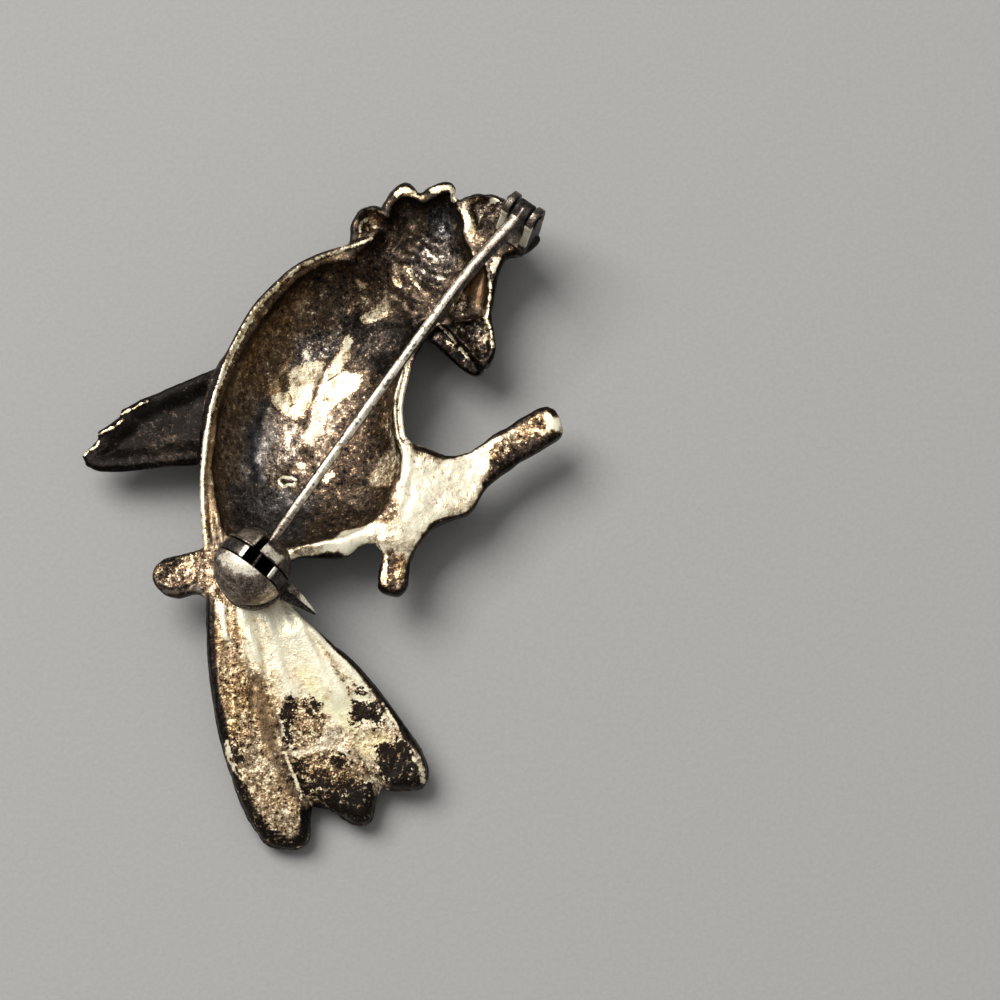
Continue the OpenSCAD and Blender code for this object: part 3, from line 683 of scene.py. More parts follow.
# the rim of the bowl: an outer lip, which paint() gives a painted highlight, a step inside it, then a band; two lips on
# the right
right_side = step(PX, 3.2, 4.4) * step(PY, 3.5, 4.6)
low_left = step(-PY, -3.5, 1.5) * step(-PX, 4, 5)
steps_down = 0.32 * step(d_body, 0.36, 0.56) + 0.12 * step(d_body, 0.6, 0.95)
rim_relief = -steps_down * (1 - right_side) * (1 - 0.7 * low_left)
rim_relief -= 0.2 * bump_at(d_body - 0.38, 0.13) * right_side
rim_relief += low_left * step(d_body, 0.25, 0.5) * 0.05 * np.sin(d_body * 17 + 1.5 * noise(PX, PY, 2.5, 21))
rim_relief *= step(-d_branch, -0.1, 0.5) * step(PY, -4.5, -2)

# ---------------------------------------------------------------- the solid forms
add(0.1, d_body, over_y(BODY_Y, BODY_HALF), over_y(BODY_Y, BODY_BACK) - 0.22, over_y(BODY_Y, BODY_FRONT) + 0.3,
    0.22, 0.3, front_body, rim_relief + grain * 0.5)
head_relief = -1.0 * step(d_lower_beak, 0, 0.35) - 0.6 * step(d_pit, 0, 0.5) + grain + 0.05 * noise(PX, PY, 0.5, 31)
add(0.35, d_head, 4.2, HIGH_RIM - 0.25, over_x(HEAD_X, HEAD_FRONT) + 0.12, 0.25, 0.32, front_head, head_relief)
for lobe, wide, bevel in ((d_left, 2.2, 1.1), (d_middle, 2.4, 1.1), (d_right, 2.4, 0.7)):
    add(0.25, lobe, wide, back_tail - tail_crown, over_y(TAIL_Y, TAIL_FRONT) + 0.12, tail_crown, bevel * fade,
        front_tail, tail_relief)
by_rim = 0.42 * step(d_body, -4.6, -0.1) * step(PY, -4.3, -3)
add(0.35, d_branch, 2.0, 5.1, 2.5, 0.4, 0.75, front_branch, grain * 1.5 + 0.04 * noise(PX, PY, 1.3, 41) + by_rim)
add(0.35, d_stub, 1.6, 4.8, 2.9, 0.4, 0.7, front_branch, grain * 2 + 0.06 * noise(PX, PY, 0.7, 42))
back_wing = over_x(WING_X, WING_BACK)
wing_relief = 0.1 * bump_at(near(FEATHER_EDGES, PX, PY, back_wing), 0.12) - 0.4 * step(d_wing, 0.5, 1.9)
wing_relief += 0.06 * noise(PX, PY, 1.1, 51) + grain
add(0.25, d_wing - 0.1, 1.4, back_wing - 0.2, over_x(WING_X, WING_FRONT) + 0.1, 0.2, 0.25,
    0.6 * front_body, wing_relief)

# ---------------------------------------------------------------- the hollow back
BOWL_RIM, HEAD_RIM, HEAD_FLOOR, HEAD_REACH = 5.85, 5.1, 2.9, 3.0
bowl_reach = np.minimum(over_y(BODY_Y, BODY_HALF) - 0.9, 6.6)
bowl_floor = over_y(BODY_Y, BODY_FRONT) + 1.25
z_bowl = floor_at(d_bowl, bowl_reach, BOWL_RIM, bowl_floor)
lumps = 0.10 * noise(PX, PY, 1.7, 61) + 0.05 * noise(PX, PY, 0.75, 62) + 0.03 * noise(PX, PY, 0.35, 63)
carve(0.12, d_bowl, bowl_reach, BOWL_RIM, bowl_floor, (
    0.03 * step(seen(BOWL_PATCHES, PX, PY, z_bowl) + 0.12 * noise(PX, PY, 0.4, 64), -0.1, 0.15)
    + 0.35 * bump_at(np.hypot(PX - 0.3, (PY - 8.0) * 0.6), 3.2)
    - 0.03 * bump_at(near(SCRATCHES, PX, PY, z_bowl), 0.13)
    - 0.06 * bump_at(near(DIMPLE_EDGE, PX, PY, z_bowl), 0.4)
    + 0.14 * bump_at(near(OVAL, PX, PY, z_bowl), 0.12)
    + lumps
))

z_head = floor_at(d_head_hollow, HEAD_REACH, HEAD_RIM, HEAD_FLOOR)
ripple_along = (PX - 5) * 0.55 + (PY - 17) * 0.83
ripples = np.sin(ripple_along * 4.2 + 1.2 * noise(PX, PY, 1.8, 71)) * step(d_head_hollow, 0.8, 2.0)
head_lumps = 0.12 * noise(PX, PY, 1.2, 72) + 0.08 * noise(PX, PY, 0.55, 73) + 0.05 * noise(PX, PY, 0.3, 74)
nape = step(5.0 - PX, 0, 2.2)
carve(0.12, d_head_hollow, HEAD_REACH, HEAD_RIM, HEAD_FLOOR + 0.9 * nape, (
    0.09 * ripples
    + head_lumps
    + 0.07 * step(seen(HEAD_PATCHES, PX, PY, z_head), -0.1, 0.2)
    - 0.3 * bump_at(seen(DENT, PX, PY, z_head), 0.35)
    + 1.5 * bump_at(near(NAPE_FOLD, PX, PY, LOW_RIM), 0.4) * step(6.5 - PX, 0, 2.5)
))
crumpled = step(seen(CRUMPLE, PX, PY, 4.0), -0.1, 0.3) * (1 + noise(PX, PY, 0.45, 76))
carve(0.12, d_face, 1.0, HEAD_RIM, 4.1, 0.3 * crumpled * 0.5 + 0.03 * noise(PX, PY, 0.6, 75))
beak_lumps = 0.22 * np.abs(noise(PX, PY, 0.5, 77)) + 0.1 * noise(PX, PY, 0.25, 78)
carve(0.1, d_beak, 1.0, HEAD_RIM, 4.3, beak_lumps)

verts, quads = surface(FIELD, GX, GY, GZ)
verts[:, 2] = np.maximum(verts[:, 2], 0.005)


# ---------------------------------------------------------------- material nodes
class Nodes:
    """A short way to write a node tree: nearly every method gives back an output socket."""

    def __init__(self, name):
        self.mat = bpy.data.materials.new(name)
        self.mat.use_nodes = True
        self.tree = self.mat.node_tree
        self.tree.nodes.clear()
        self.shader = self.node("BsdfPrincipled")
        self.put(self.node("OutputMaterial").inputs[0], self.shader.outputs[0])

    def put(self, socket, value):
        if isinstance(value, bpy.types.NodeSocket):
            self.tree.links.new(value, socket)
        else:
            socket.default_value = value

    def node(self, kind, sockets=(), **settings):
        """A new node with its settings, and its sockets linked or set."""
        n = self.tree.nodes.new("ShaderNode" + kind)
        for name, value in settings.items():
            setattr(n, name, value)
        for key, value in dict(sockets).items():
            self.put(n.inputs[key], value)
        return n

    def attr(self, name):
        return self.node("Attribute", attribute_name=name).outputs["Fac"]

    def point(self):
        return self.node("TexCoord").outputs["Object"]

    def stretched(self, scale, turn):
        return self.node("Mapping", {"Vector": self.point(), "Scale": scale, "Rotation": turn}).outputs[0]

    def noise(self, size, detail, rough, vector=None):
        """Noise from 0 to 1 around 0.5, with features about size mm wide."""
        sockets = {"Vector": vector or self.point(), "Scale": 1000.0 / size, "Detail": detail, "Roughness": rough}
        return self.node("TexNoise", sockets).outputs["Fac"]

    def math(self, kind, a, b=0.0):
        return self.node("Math", enumerate((a, b)), operation=kind).outputs[0]

    def add(self, a, b):
        return self.math("ADD", a, b)

    def mul(self, a, b):
        return self.math("MULTIPLY", a, b)

    def ramp(self, value, lo, hi, a=0.0, b=1.0):
        """a at lo, b at hi, smooth between them."""
        return self.node("MapRange", enumerate((value, lo, hi, a, b)), interpolation_type="SMOOTHSTEP").outputs[0]

    def mix(self, factor, a, b):
        """Numbers mixed."""
        return self.node("Mix", {"Factor": factor, 2: a, 3: b}).outputs[0]

    def tint(self, factor, a, b):
        """Colours mixed."""
        return self.node("Mix", {"Factor": factor, 6: a, 7: b}, data_type="RGBA").outputs[2]

    def colours(self, value, stops):
        n = self.node("ValToRGB", {0: value})
        while len(n.color_ramp.elements) < len(stops):
            n.color_ramp.elements.new(0.5)
        for e, place, colour in zip(n.color_ramp.elements, DARKNESS, stops):
            e.position = place
            e.color = (*colour, 1)
        return n.outputs[0]

    def bump(self, height, depth):
        return self.node("Bump", {"Strength": 1.0, "Distance": depth * MM, "Height": height}).outputs[0]

    def metal(self, dark, clean):
        """How metallic it is: less where clean silver looks pale and matt, and a little less where it is black."""
        return self.mul(self.ramp(dark, 0.0, 0.3, clean, 1.0), self.ramp(dark, 0.55, 1.0, 1.0, 0.85))

    def finish(self, **sockets):
        for name, value in sockets.items():
            self.put(self.shader.inputs[name.replace("_", " ").title().replace("Ior", "IOR")], value)
        return self.mat


# darkness 0 is clean silver, 1 is the blackest tarnish
DARKNESS = (0.0, 0.15, 0.35, 0.6, 0.8, 1.0)
SILVER = (
    (1.0, 0.935, 0.72), (0.93, 0.785, 0.57), (0.49, 0.37, 0.25),
    (0.138, 0.1, 0.068), (0.048, 0.038, 0.03), (0.007, 0.006, 0.005),
)
BROWNED = (
    (1.0, 0.93, 0.58), (0.84, 0.63, 0.31), (0.44, 0.265, 0.115),
    (0.145, 0.08, 0.037), (0.05, 0.031, 0.02), (0.007, 0.005, 0.004),
)
BLUED = (
    (0.93, 0.93, 0.90), (0.72, 0.73, 0.74), (0.36, 0.38, 0.41),
    (0.11, 0.117, 0.137), (0.042, 0.045, 0.05), (0.006, 0.006, 0.007),
)


def cast_silver():
    """Tarnished cast silver, with painted light and shade. Its tones and patches are the numbers that paint() writes at
    the mesh's points.
    """
    m = Nodes("cast_silver_tarnished_and_lit")
    fine = m.add(m.noise(0.13, 2.0, 0.6), -0.5)
    grains = m.add(m.noise(0.36, 3.0, 0.65), -0.5)
    mid = m.add(m.noise(1.0, 4.0, 0.65), -0.5)
    broad = m.add(m.noise(3.0, 3.0, 0.55), -0.5)
    rag = m.add(m.add(m.mul(mid, 2.0), m.mul(grains, 4.0)), fine)

    def region(name, ragged, outside, inside):
        """1 inside a patch whose edge is ragged, from its signed distance in mm."""
        return m.ramp(m.add(m.attr(name), m.mul(rag, ragged)), outside, inside)

    # mostly calm, with scattered light and dark flecks
    speckle = m.add(m.mul(grains, 2.2), m.mul(fine, 1.4))
    speckle = m.mul(speckle, m.add(0.25, m.mul(m.math("ABSOLUTE", speckle), 2.4)))
    blots = m.mul(mid, m.add(0.3, m.mul(m.attr("grain"), 0.35)))
    dark = m.add(m.attr("base"), m.add(m.mul(broad, 0.3), blots))
    dark = m.add(dark, m.mul(m.attr("grain"), speckle))
    crust = m.add(0.95, m.mul(m.ramp(m.noise(0.4, 4.0, 0.7), 0.54, 0.66), -0.65))
    dark = m.mix(region("crust", 0.6, -0.1, 0.1), dark, crust)
    # pale silver in the clean patches, which also carry painted highlights
    bare_and_lit = m.add(0.12, m.add(m.mul(mid, 1.1), m.mul(speckle, 0.6)))
    dark = m.mix(region("clean", 0.3, -0.05, 0.05), dark, bare_and_lit)
    dark = m.mix(region("line", 0.06, 0.12, 0.03), dark, 0.7)
    # painted highlight on the glint lines and the rim's lips, over polished silver
    polished_and_lit = m.add(0.1, m.add(m.mul(mid, 0.8), m.mul(speckle, 0.8)))
    dark = m.mix(region("glint", 0.08, 0.16, 0.05), dark, polished_and_lit)
    dark = m.math("MINIMUM", m.math("MAXIMUM", dark, 0.0), 1.0)
    hue = m.add(broad, m.mul(mid, 0.8))
    rust = m.mul(m.attr("brown"), m.ramp(hue, -0.25, 0.2, 0.5, 1.0))
    cold = m.mul(m.attr("blue"), m.ramp(hue, -0.2, 0.25, 1.0, 0.4))
    colour = m.tint(rust, m.colours(dark, SILVER), m.colours(dark, BROWNED))
    return m.finish(
        base_color=m.tint(cold, colour, m.colours(dark, BLUED)),
        metallic=m.metal(dark, 0.3),
        specular_ior_level=0.2,
        roughness=m.add(m.ramp(dark, 0.0, 0.8, 0.26, 0.42), m.mul(mid, 0.3)),
        normal=m.bump(m.add(m.mul(fine, 0.4), m.add(m.mul(grains, 0.7), mid)), 0.05),
    )


# ---------------------------------------------------------------- the cast bird
cast = mesh_object("cast_bird", verts, quads, "bird")
fewer = cast.modifiers.new("fewer", "DECIMATE")
fewer.ratio = min(1.0, CAST_TRIANGLES / (2 * len(quads)))
bpy.context.view_layer.objects.active = cast
cast.select_set(True)
bpy.ops.object.modifier_apply(modifier="fewer")
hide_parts("bird_casting")


def write_numbers(me, values):
    for name, v in values.items():
        me.attributes.new(name, "FLOAT", "POINT").data.foreach_set("value", v.astype(np.float32))


def read_points(me):
    """Places in mm and directions of a mesh's points, as columns."""
    co, no = np.empty(len(me.vertices) * 3), np.empty(len(me.vertices) * 3)
    me.vertices.foreach_get("co", co)
    me.vertices.foreach_get("normal", no)
    return (co / MM).reshape(-1, 3).T, no.reshape(-1, 3).T


def paint(me):
    """The finish, with its painted light and shade, as numbers at each point: tones from 0 to 1, and signed distances
    in mm to patches and lines.
    """
    (x, y, z), no = read_points(me)
    rim, branch, stub, head, bowl = (at(d, x, y) for d in (d_body, d_branch, d_stub, d_head, d_bowl))
    lobes = [at(d, x, y) for d in (d_left, d_middle, d_right)]
    tail = np.maximum(np.maximum(lobes[0], lobes[1]), lobes[2])
    base, grain, brown, blue = (np.full(x.shape, v) for v in (0.16, 0.35, 0.15, 0.0))

    def lay(mask, dark, rough=None, warm=None, cold=None):
        for a, v in ((base, dark), (grain, rough), (brown, warm), (blue, cold)):
            if v is not None:
                a += (v - a) * mask

    def outer_band(d, width):
        """Just inside an outline, on its rounded edge."""
        return step(width - d, 0, 0.12) * step(d, -0.3, 0)

    # the large areas
    lay(step(-y, 5, 7) * step(tail, -0.2, 0.2), 0.18 + 0.16 * step(-y, 15, 22), 0.7)
    stripes = 0.54 + 0.36 * np.sin(14 * rim + 2 * noise(x, y, 3.5, 22))
    lay(step(-y, -4, 1) * step(-x, 5, 6) * step(rim, 0, 0.2) * step(y, -6, -4), stripes, 0.5, 0.45)
    lay(bump_at(rim - 0.38, 0.14) * step(x, 3.6, 4.6) * step(y, 4, 5) * step(-branch, 0, 0.3), 0.75)
    lay(step(y, 7, 11) * step(-x, -3, 0) * step(rim, 0, 0.2), 0.62, 0.4, 0.5)
    lay(step(bowl, 0.0, 0.35), 0.74, 0.6, 0.4)
    lay(step(head, -0.1, 0.2), 0.77, 0.5, 0.35)
    in_wing = step(-x, 7.5, 8.5) * step(rim, 0.2, -0.1) * step(y, 2.2, 2.5)
    lay(in_wing, 1.07, 0.3, 0.7)
    lighter = points("-14.2,5.8 -12.8,6.5 -11.3,6.1 -9.4,4.8 -8.8,3.9 -11.3,3.7 -13.8,3.9")
    lay(step(inside_by(lighter, x, y), -0.5, 0.4) * in_wing, 1.0, 0.3, 0.7)

    # the outlined tones, with wavering edges
    wx = x + 0.28 * noise(x, y, 0.9, 81) + 0.12 * noise(x, y, 0.4, 82)
    wy = y + 0.28 * noise(x, y, 0.9, 83) + 0.12 * noise(x, y, 0.4, 84)
    for dark, rough, warm, cold, soft, text in TONES:
        lay(step(seen([text], wx, wy, z), -soft / 2, soft / 2), dark, rough, warm, cold)
    # painted highlight along the tail's ridges
    for line, wide in zip(RIDGES, (0.4, 0.7, 0.25, 0.3, 0.3)):
        lay(bump_at(near([line], x, y, z), wide) * step(-y, 4, 5), -0.04, 0.2, 0.0)
    # painted dark blue shade along the edge of the dimple, which the relief also grooves
    lay(bump_at(near(DIMPLE_EDGE, wx, wy, z), 0.4), 0.82, 0.3, 0.0, 0.8)
    slope = step(rim, 0.36, 0.46) * step(-bowl, -0.35, -0.1) * step(1.2 - x, 0, 1) * step(y, -3.4, 1)
    lay(slope * step(rim, 2, 1.5), 0.4 + 0.3 * step(y, 5, 9), 0.5, 1.0, 0.0)

    # painted shade on the rounded edges and side walls: the tail's two flanks and tips, the branch, the stub and the
    # head
    edge = 0.12 * noise(x, y, 1.6, 85)
    left_flank = 0.62 * step(-y, 4, 7) + 0.1 * step(-y, 14, 20)
    right_flank = 0.42 * step(-y, 9, 12) + 0.34 * step(-y, 14.2, 15.6) * step(y, -19, -17.5)
    flank = np.where(x < -1.5 - 0.5 * (y + 20), left_flank, right_flank)
    second = np.maximum(np.minimum(lobes[0], lobes[1]), np.minimum(lobes[1], lobes[2]))
    joined = step(second, -0.9, -0.5)
    lay(outer_band(tail, flank + edge) * step(-y, 6, 8) * (1 - joined), 0.93, 0.3, 0.4)
    above = step(y - 0.56 * x + 3.8, -0.4, 0.4)
    upper = 0.26 + 0.3 * step(x, 11.5, 14)
    lower = 0.2 + 0.62 * step(x, 12.6, 14.5) + 0.1 * step(-y, 3, 5)
    free = step(-rim, -0.2, 0.3) * step(x + 0.5 * y, 2.5, 3.5)
    end = step(0.8 - np.hypot(x - 18.05, y - 6.2), 0, 0.3)
    lay(outer_band(branch, np.where(above > 0.5, upper, lower) + edge) * free * (1 - end), 0.9, 0.4, 0.6)
    lay(outer_band(branch, 0.27 + edge) * step(-y, 4.3, 4.8), 0.93, 0.4, 0.6)
    lay(outer_band(stub, 0.2 + edge) * step(-x, 9, 9.5), 0.85, 0.4, 0.3)
    lay(step(0.3 + edge * 0.5 - head, 0, 0.1) * step(head, -0.3, 0) * step(-rim, -0.1, 0.2), 0.94, 0.3, 0.4)
    # painted shade on every steep or overhanging side, from the direction of its points
    lay(step(no[2], 0.4, 0.1), 0.88, 0.3, 0.3)
    # painted shade on the rim's outer edge at the upper left
    outside = step(0.2 + 0.07 * step(y, 7, 11) - rim, 0, 0.1) * step(rim, -0.5, 0)
    lay(outside * step(y, 6, 9) * step(-x, -2, 0), 0.93, 0.3, 0.3)

    # patches and lines, on the back only: clean patches that also carry painted highlights, dark lines, and painted
    # highlights along the glint lines and the rim's lips
    upper_lip = np.abs(rim - 0.17 - 0.24 * step(y, 4, 11)) + 0.1 * step(y, 14, 18) + 0.05 * step(-y, -2, 2) - 0.07
    lip = np.minimum(upper_lip, np.where(x > 3, np.abs(rim - 0.62), FAR))
    lip = np.where((head < 0.1) & (tail < 0) & (y > -3.4) & (branch < -0.05), lip, FAR)
    feathers = near(FEATHER_EDGES, x, y, z) + 0.03
    wide = np.minimum(near(CREST_EDGE, x, y, z), near(TAIL_EDGE, x, y, z)) - 0.11
    glint = np.minimum(np.minimum(near(OTHER_GLINTS, x, y, z), feathers), np.minimum(wide, lip))
    clean = np.maximum(seen(OTHER_PATCHES, x, y, z), seen(THIN_PATCHES, x, y, z) - 0.07)
    back = no[2] > -0.2
    write_numbers(me, {
        "base": base,
        "grain": grain,
        "brown": brown,
        "blue": blue,
        "clean": np.where(back, clean, -FAR),
        "crust": np.where(back, seen(CRUST, x, y, z), -FAR),
        "line": np.where(back, near(DARK_LINES, x, y, z), FAR),
        "glint": np.where(back, glint, FAR),
    })


paint(cast.data)
cast.data.materials.append(cast_silver())

# ---------------------------------------------------------------- the findings: hinge bracket, rivet, pin, ball catch
# Their own frame has its origin at the ball's centre, X along the pin to the hinge, and Z up
BALL = np.array([-4.8, -5.6, 8.3])
PIN_TURN, LEVER_TURN, GAP_TURN = (math.radians(a) for a in (54, 108, 15))
FINE = 0.065
BASE_Z, BASE_TOP = -3.4, -2.6
BALL_R, BALL_HOLE_R, BALL_SLOT = 2.9, 1.9, (-0.45, 0.75)
ROTOR_X, ROTOR_R, HUB_R, MOUTH = 0.15, 2.8, 1.85, 1.15
LEVER_TIP = 6.0
STEM_WAY = 0.6  # width of the slit in the ball for the pin
HINGE_X = 34.3
EYE_HOLE_R, EAR_HOLE_R, RIVET_R = 0.4, 0.38, 0.36
STEM_X = [-0.35, 0.3, 2.5, 3.4, 20, 29, 33, 34]
STEM_R = [0.1, 0.2, 0.25, 0.38, 0.38, 0.5, 0.62, 0.62]
# the wire is slightly bowed sideways
BOW_X = [2.6, 4, 6, 10, 14, 18, 22, 25, 27, 29, 31, 33]
BOW_Y = [0, 0.05, 0.13, 0.24, 0.35, 0.44, 0.51, 0.54, 0.53, 0.46, 0.28, 0.06]


def turned(a, b, angle):
    """Two coordinates in a frame that is turned by an angle."""
    c, s = math.cos(angle), math.sin(angle)
    return c * a + s * b, c * b - s * a


def slab(along, lo, hi):
    return np.minimum(along - lo, hi - along)


def housing(x, y, z):
    ball = smooth_min(BALL_R - np.sqrt(x * x + y * y + z * z), 2.45 - x, 0.12)
    foot = smooth_min(2.5 - np.hypot(x + 0.2, y), slab(z, BASE_Z, BASE_TOP), 0.12)
    f = smooth_max(ball, foot, 0.12)
    f = smooth_min(f, -np.minimum(slab(x, *BALL_SLOT), z + 2.9), 0.07)
    f = np.minimum(f, np.hypot(y, z) - BALL_HOLE_R + FAR * (x < -1.25) + FAR * (x > 1.55))
    way = np.maximum(np.minimum(STEM_WAY / 2 - np.abs(y), z), STEM_WAY / 2 - np.hypot(y, z))
    return smooth_min(f, -np.minimum(way, x - ROTOR_X), 0.06)


def rotor(x, y, z):
    x, r = x - ROTOR_X, np.hypot(y, z)
    disc = smooth_min(ROTOR_R - r, slab(x, -0.5, 0.5), 0.08)
    disc = np.maximum(disc, np.minimum(HUB_R - r, slab(x, -1.2, 1.2)))
    # the lever points along its own up
    side, up = turned(y, z, LEVER_TURN)
    half = np.interp(up, [HUB_R, 3.05, 3.2, 4.56, LEVER_TIP], [0.5, 0.5, 0.8, 0.48, 0.1])
    thick = np.interp(up, [HUB_R, 4.6, LEVER_TIP], [0.35, 0.34, 0.12])
    lever = smooth_min(smooth_min(half - np.abs(x), thick - np.abs(side), 0.1), slab(up, HUB_R, LEVER_TIP), 0.1)
    f = smooth_max(disc, smooth_min(lever, 0.8 * (thick - side) - 0.6 * x, 0.05), 0.1)
    side, up = turned(y, z, GAP_TURN)
    mouth = np.maximum(MOUTH - r, np.minimum(MOUTH - np.abs(side), up))
    return smooth_min(f, -mouth, 0.06)


def stem(x, y, z):
    bow = np.interp(x, BOW_X, BOW_Y)
    bar = smooth_min(np.interp(x, STEM_X, STEM_R) - np.hypot(y - bow, z), slab(x, STEM_X[0], 33.9), 0.06)
    from_axis = np.hypot(x - HINGE_X, z)
    eye = smooth_min(0.9 - from_axis, 0.65 - np.abs(y), 0.1)
    return np.minimum(smooth_max(bar, eye, 0.2), from_axis - EYE_HOLE_R)


def bracket(x, y, z):
    x, r = x - HINGE_X, np.hypot(x - HINGE_X, z)
    ear = smooth_max(1.05 - r, inside_by(points("-2.1,-3.4 0.3,-3.4 1.03,-0.22 -0.6,0.86"), x, z), 0.05)
    ears = smooth_min(ear, 0.3 - np.abs(np.abs(y) - 1.1), 0.1)
    foot = smooth_min(smooth_min(slab(x, -1.9, 0.2), slab(z, BASE_Z, BASE_TOP), 0.1), 1.1 - np.abs(y), 0.1)
    return np.minimum(smooth_max(ears, foot, 0.25), r - EAR_HOLE_R)


def rivet(x, y, z):
    r = np.hypot(x - HINGE_X, z)
    shank = np.minimum(RIVET_R - r, 1.42 - np.abs(y))
    dome = np.minimum(1.66 - np.abs(y) - 0.25 * r * r, np.abs(y) - 1.42)
    return smooth_max(shank, smooth_min(dome, 0.6 - r, 0.05), 0.03)


def worn_and_lit_silver(name, rough, scratch):
    """Silver of the findings: painted highlights on the proud parts and the faces towards the light, painted shade on
    the sides and inside, and specks of tarnish.
    """
    m = Nodes(name)
    fine = m.add(m.noise(0.15, 2.0, 0.6), -0.5)
    mid = m.add(m.noise(0.6, 4.0, 0.65), -0.5)
    hair = m.noise(0.2, 2.0, 0.5, m.stretched((1, 0.06, 1), (0, 0, -PIN_TURN)))
    dark = m.add(m.attr("base"), m.mul(m.attr("grain"), m.add(m.mul(mid, 1.6), m.mul(fine, 1.3))))
    dark = m.math("MINIMUM", m.math("MAXIMUM", dark, 0.0), 1.0)
    return m.finish(
        base_color=m.tint(0.25, m.colours(dark, SILVER), m.colours(dark, BLUED)),
        metallic=m.metal(dark, 0.35),
        roughness=m.add(m.ramp(dark, 0.0, 0.8, rough, rough + 0.14), m.mul(mid, 0.25)),
        normal=m.bump(m.add(m.mul(hair, scratch), m.mul(fine, 0.5)), 0.014),
    )


# darkness of each finding, from the places and directions of its points in the findings' frame: tarnish, with painted
# highlights towards the light and painted shade on the sides and inside
def housing_tone(x, y, z, n):
    # painted highlight where the key light's reflection falls on both domes beside the slot; darker tarnish low on the
    # dome and by the lever; painted shade inside the ball and on the foot beneath it
    r = np.sqrt(x * x + y * y + z * z)
    spot = noise(x, y, 0.9, 91) * 0.2 + noise(x, y, 0.3, 92) * 0.12
    lower = step(-x + 0.4 * np.abs(y - 0.8) + spot, 1.6, 2.1)
    near_lever = step(-y - 0.3 * x + 0.5 * spot, 1.2, 1.7)
    left = 0.1 + 0.46 * np.maximum(lower, near_lever)
    left += 0.45 * step(y + 0.6 * x + 0.4 * spot, 1.3, 1.6) - 0.2 * step(-y, 2.0, 2.3)
    band = step(x + spot * 0.5, 0.85, 0.95) * step(-x - spot, -1.9, -1.6)
    band = band * (step(2.1 - np.abs(y - 0.1), 0, 0.3) - 0.75 * step(y, 0.3, 0.7))
    dark = np.where(x < 0.2, left, 0.1 + 0.3 * spot + 0.55 * (1 - band))
    dark = np.where((r < 2.72) & (z > -2.5) & (x < 2.35), 0.97, dark)
    return np.where(z < -2.5, 0.6, dark)


def rotor_tone(x, y, z, n):
    r = np.hypot(y, z)
    # painted shade inside the ring, a painted highlight on the rim beside the mouth, and painted highlights on the
    # lever's faces turned towards +X
    side = np.abs(turned(y, z, GAP_TURN)[0])
    dark = np.where(r < 2.62, 0.97, 0.78 - 0.74 * step(side, 1.6, 1.35))
    lever = 0.86 - (0.4 * step(r, 2.9, 3.3) + 0.42 * step(r, 3.9, 4.6)) * step(n[0], 0.25, 0.5)
    return np.where(r > 2.95, lever, dark)


def stem_tone(x, y, z, n):
    # a painted highlight along the top of the wire, from the directions of its points, with painted shade on its sides
    # and a few blots of tarnish; the eye is dark, with a painted highlight along its middle
    least = np.interp(x, [16, 24, 33], [0.5, 0.64, 0.8])
    bright = step(n[2] - np.interp(x, [16, 26], [0.3, -0.3]) * n[1], least, least + 0.1)
    blot = step(noise(x, 2.5 * y, 0.45, 93) + 0.5 * noise(x, y, 0.15, 94), 0.6, 0.8)
    wire = np.interp(x, [10, 18, 30], [0.9, 0.74, 0.7])
    wire = wire - np.interp(x, [3, 8, 18, 30], [0.45, 0.76, 0.64, 0.38]) * bright * (1 - 0.6 * blot)
    eye = 0.85 - 0.5 * step(0.12 - np.abs(y), 0, 0.1) * (x < HINGE_X)
    return np.where(x > HINGE_X - 0.75, eye, wire)


def bracket_tone(x, y, z, n):
    # painted shade on the ears' flat faces and a painted highlight along the slope of their leading edge
    lead = x - HINGE_X + 0.6 + 0.352 * (0.86 - z)
    slope = step(0.18 - lead, 0, 0.08) * step(z, -2.4, -1.8) * step(0.6 - z, 0, 0.3)
    return np.maximum(0.6 + 0.32 * step(np.abs(n[1]), 0.6, 0.8) - 1.2 * slope, 0)


def rivet_tone(x, y, z, n):
    return np.full(x.shape, 0.6)


def finding(name, field, lo, hi, body, node, tone, grain, rough, scratch=0.4):
    """A mesh from a field over a box of the findings' frame, in place of a CAD node."""
    xs, ys, zs = (np.arange(a, b + FINE, FINE) for a, b in zip(lo, hi))
    v, q = surface(field(*np.meshgrid(xs, ys, zs, indexing="ij")), xs, ys, zs)
    v[:, 0], v[:, 1] = turned(v[:, 0], v[:, 1], -PIN_TURN)
    o = mesh_object(name, v + BALL, q, body)
    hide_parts(node)
    co, no = read_points(o.data)
    co, no = ((*turned(a[0], a[1], PIN_TURN), a[2]) for a in (co - BALL[:, None], no))
    dark = tone(*co, no)
    write_numbers(o.data, {"base": dark, "grain": np.full(dark.shape, grain)})
    o.data.materials.append(worn_and_lit_silver(name + "_silver", rough, scratch))


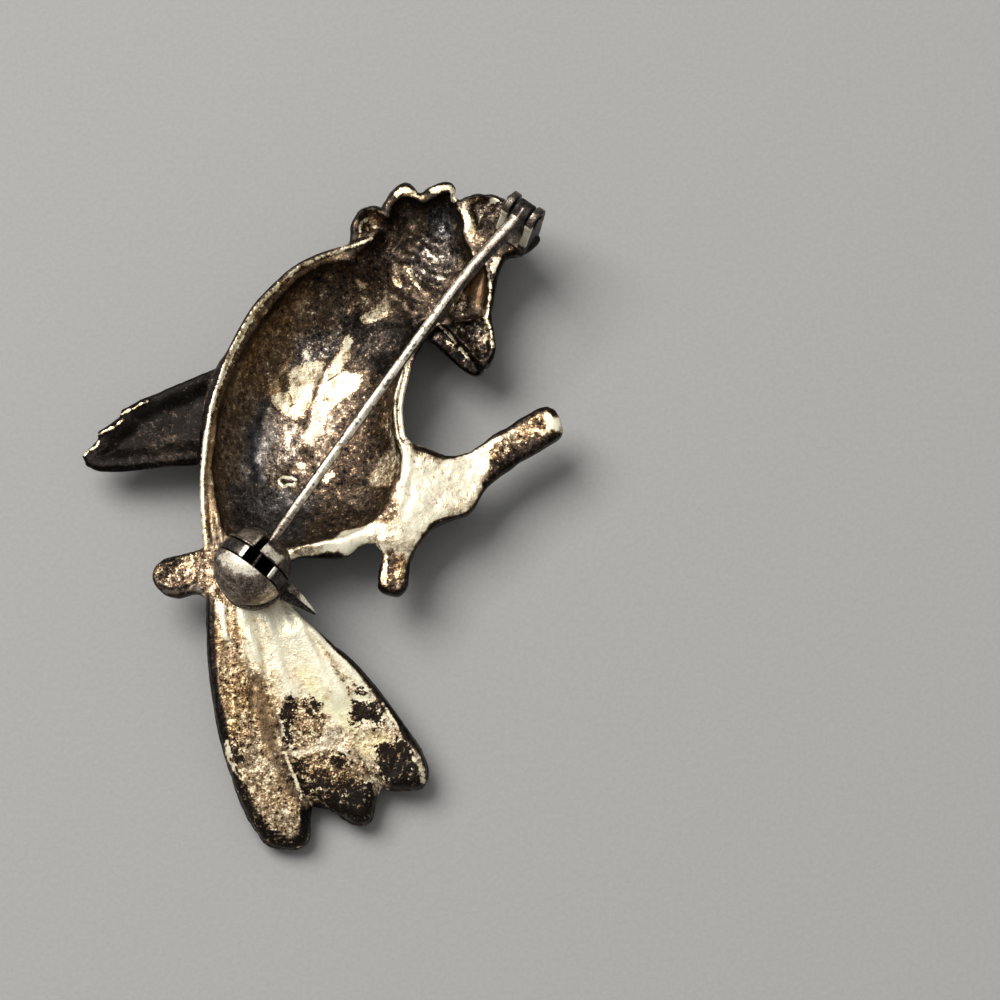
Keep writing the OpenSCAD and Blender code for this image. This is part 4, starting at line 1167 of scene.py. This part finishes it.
finding("ball_housing", housing, (-3.2, -3.1, -3.6), (2.7, 3.1, 3.1), "bird", "bird_casting",
        housing_tone, 0.5, 0.36)
finding("hinge_bracket", bracket, (31.9, -1.6, -3.6), (35.6, 1.6, 1.3), "bird", "bird_casting",
        bracket_tone, 0.5, 0.3)
finding("rivet", rivet, (33.4, -1.9, -0.8), (35.2, 1.9, 0.8), "bird", "hinge_rivet",
        rivet_tone, 0.4, 0.3)
finding("pin", stem, (-0.6, -1.1, -1.1), (35.5, 1.1, 1.1), "pin", "pin_stem",
        stem_tone, 0.45, 0.38, 0.9)
finding("rotor", rotor, (-1.3, -6.3, -3.1), (1.6, 3.1, 3.1), "rotor", "catch_rotor",
        rotor_tone, 0.5, 0.26)


# ---------------------------------------------------------------- floor and light
def floor():
    half = 1.6
    me = bpy.data.meshes.new("floor")
    me.from_pydata([(-half, -half, 0), (half, -half, 0), (half, half, 0), (-half, half, 0)], [], [(0, 1, 2, 3)])
    m = Nodes("pale_floor")
    fleck = m.noise(0.35, 3.0, 0.6)
    me.materials.append(m.finish(
        base_color=m.tint(m.ramp(fleck, 0.3, 0.7), (0.355, 0.352, 0.345, 1), (0.378, 0.375, 0.367, 1)),
        roughness=0.75,
        normal=m.bump(fleck, 0.02),
    ))
    in_scene("floor", me)


def softbox(name, place, aim, size, watts, colour=(1, 1, 1)):
    light = bpy.data.lights.new(name, "AREA")
    light.shape = "RECTANGLE"
    light.size, light.size_y = size
    light.energy = watts
    light.color = colour
    o = in_scene(name, light)
    o.location = place
    o.rotation_euler = (Vector(aim) - Vector(place)).to_track_quat("-Z", "Y").to_euler()


def sky():
    """A grey room, lighter above."""
    world = bpy.data.worlds.new("studio")
    bpy.context.scene.world = world
    world.use_nodes = True
    t = world.node_tree
    background = t.nodes["Background"]
    coord, split, ramp = (t.nodes.new("ShaderNode" + kind) for kind in ("TexCoord", "SeparateXYZ", "ValToRGB"))
    t.links.new(coord.outputs["Generated"], split.inputs[0])
    t.links.new(split.outputs["Z"], ramp.inputs[0])
    t.links.new(ramp.outputs[0], background.inputs[0])
    stops = [(0.0, 0.5), (0.45, 0.6), (0.7, 0.75), (1.0, 0.9)]
    while len(ramp.color_ramp.elements) < len(stops):
        ramp.color_ramp.elements.new(0.5)
    for e, (place, v) in zip(ramp.color_ramp.elements, stops):
        e.position = place
        e.color = (v, v, v * 0.98, 1)
    background.inputs[1].default_value = 0.38


floor()
sky()
softbox("key", (-0.31, 0.26, 0.625), (0, 0, 0), (0.47, 0.47), 5.9, (1, 0.99, 0.97))
softbox("top", (0.0, 0.13, 0.60), (0.01, 0, 0), (0.4, 0.45), 0.25)
bpy.context.scene.view_settings.view_transform = "Standard"
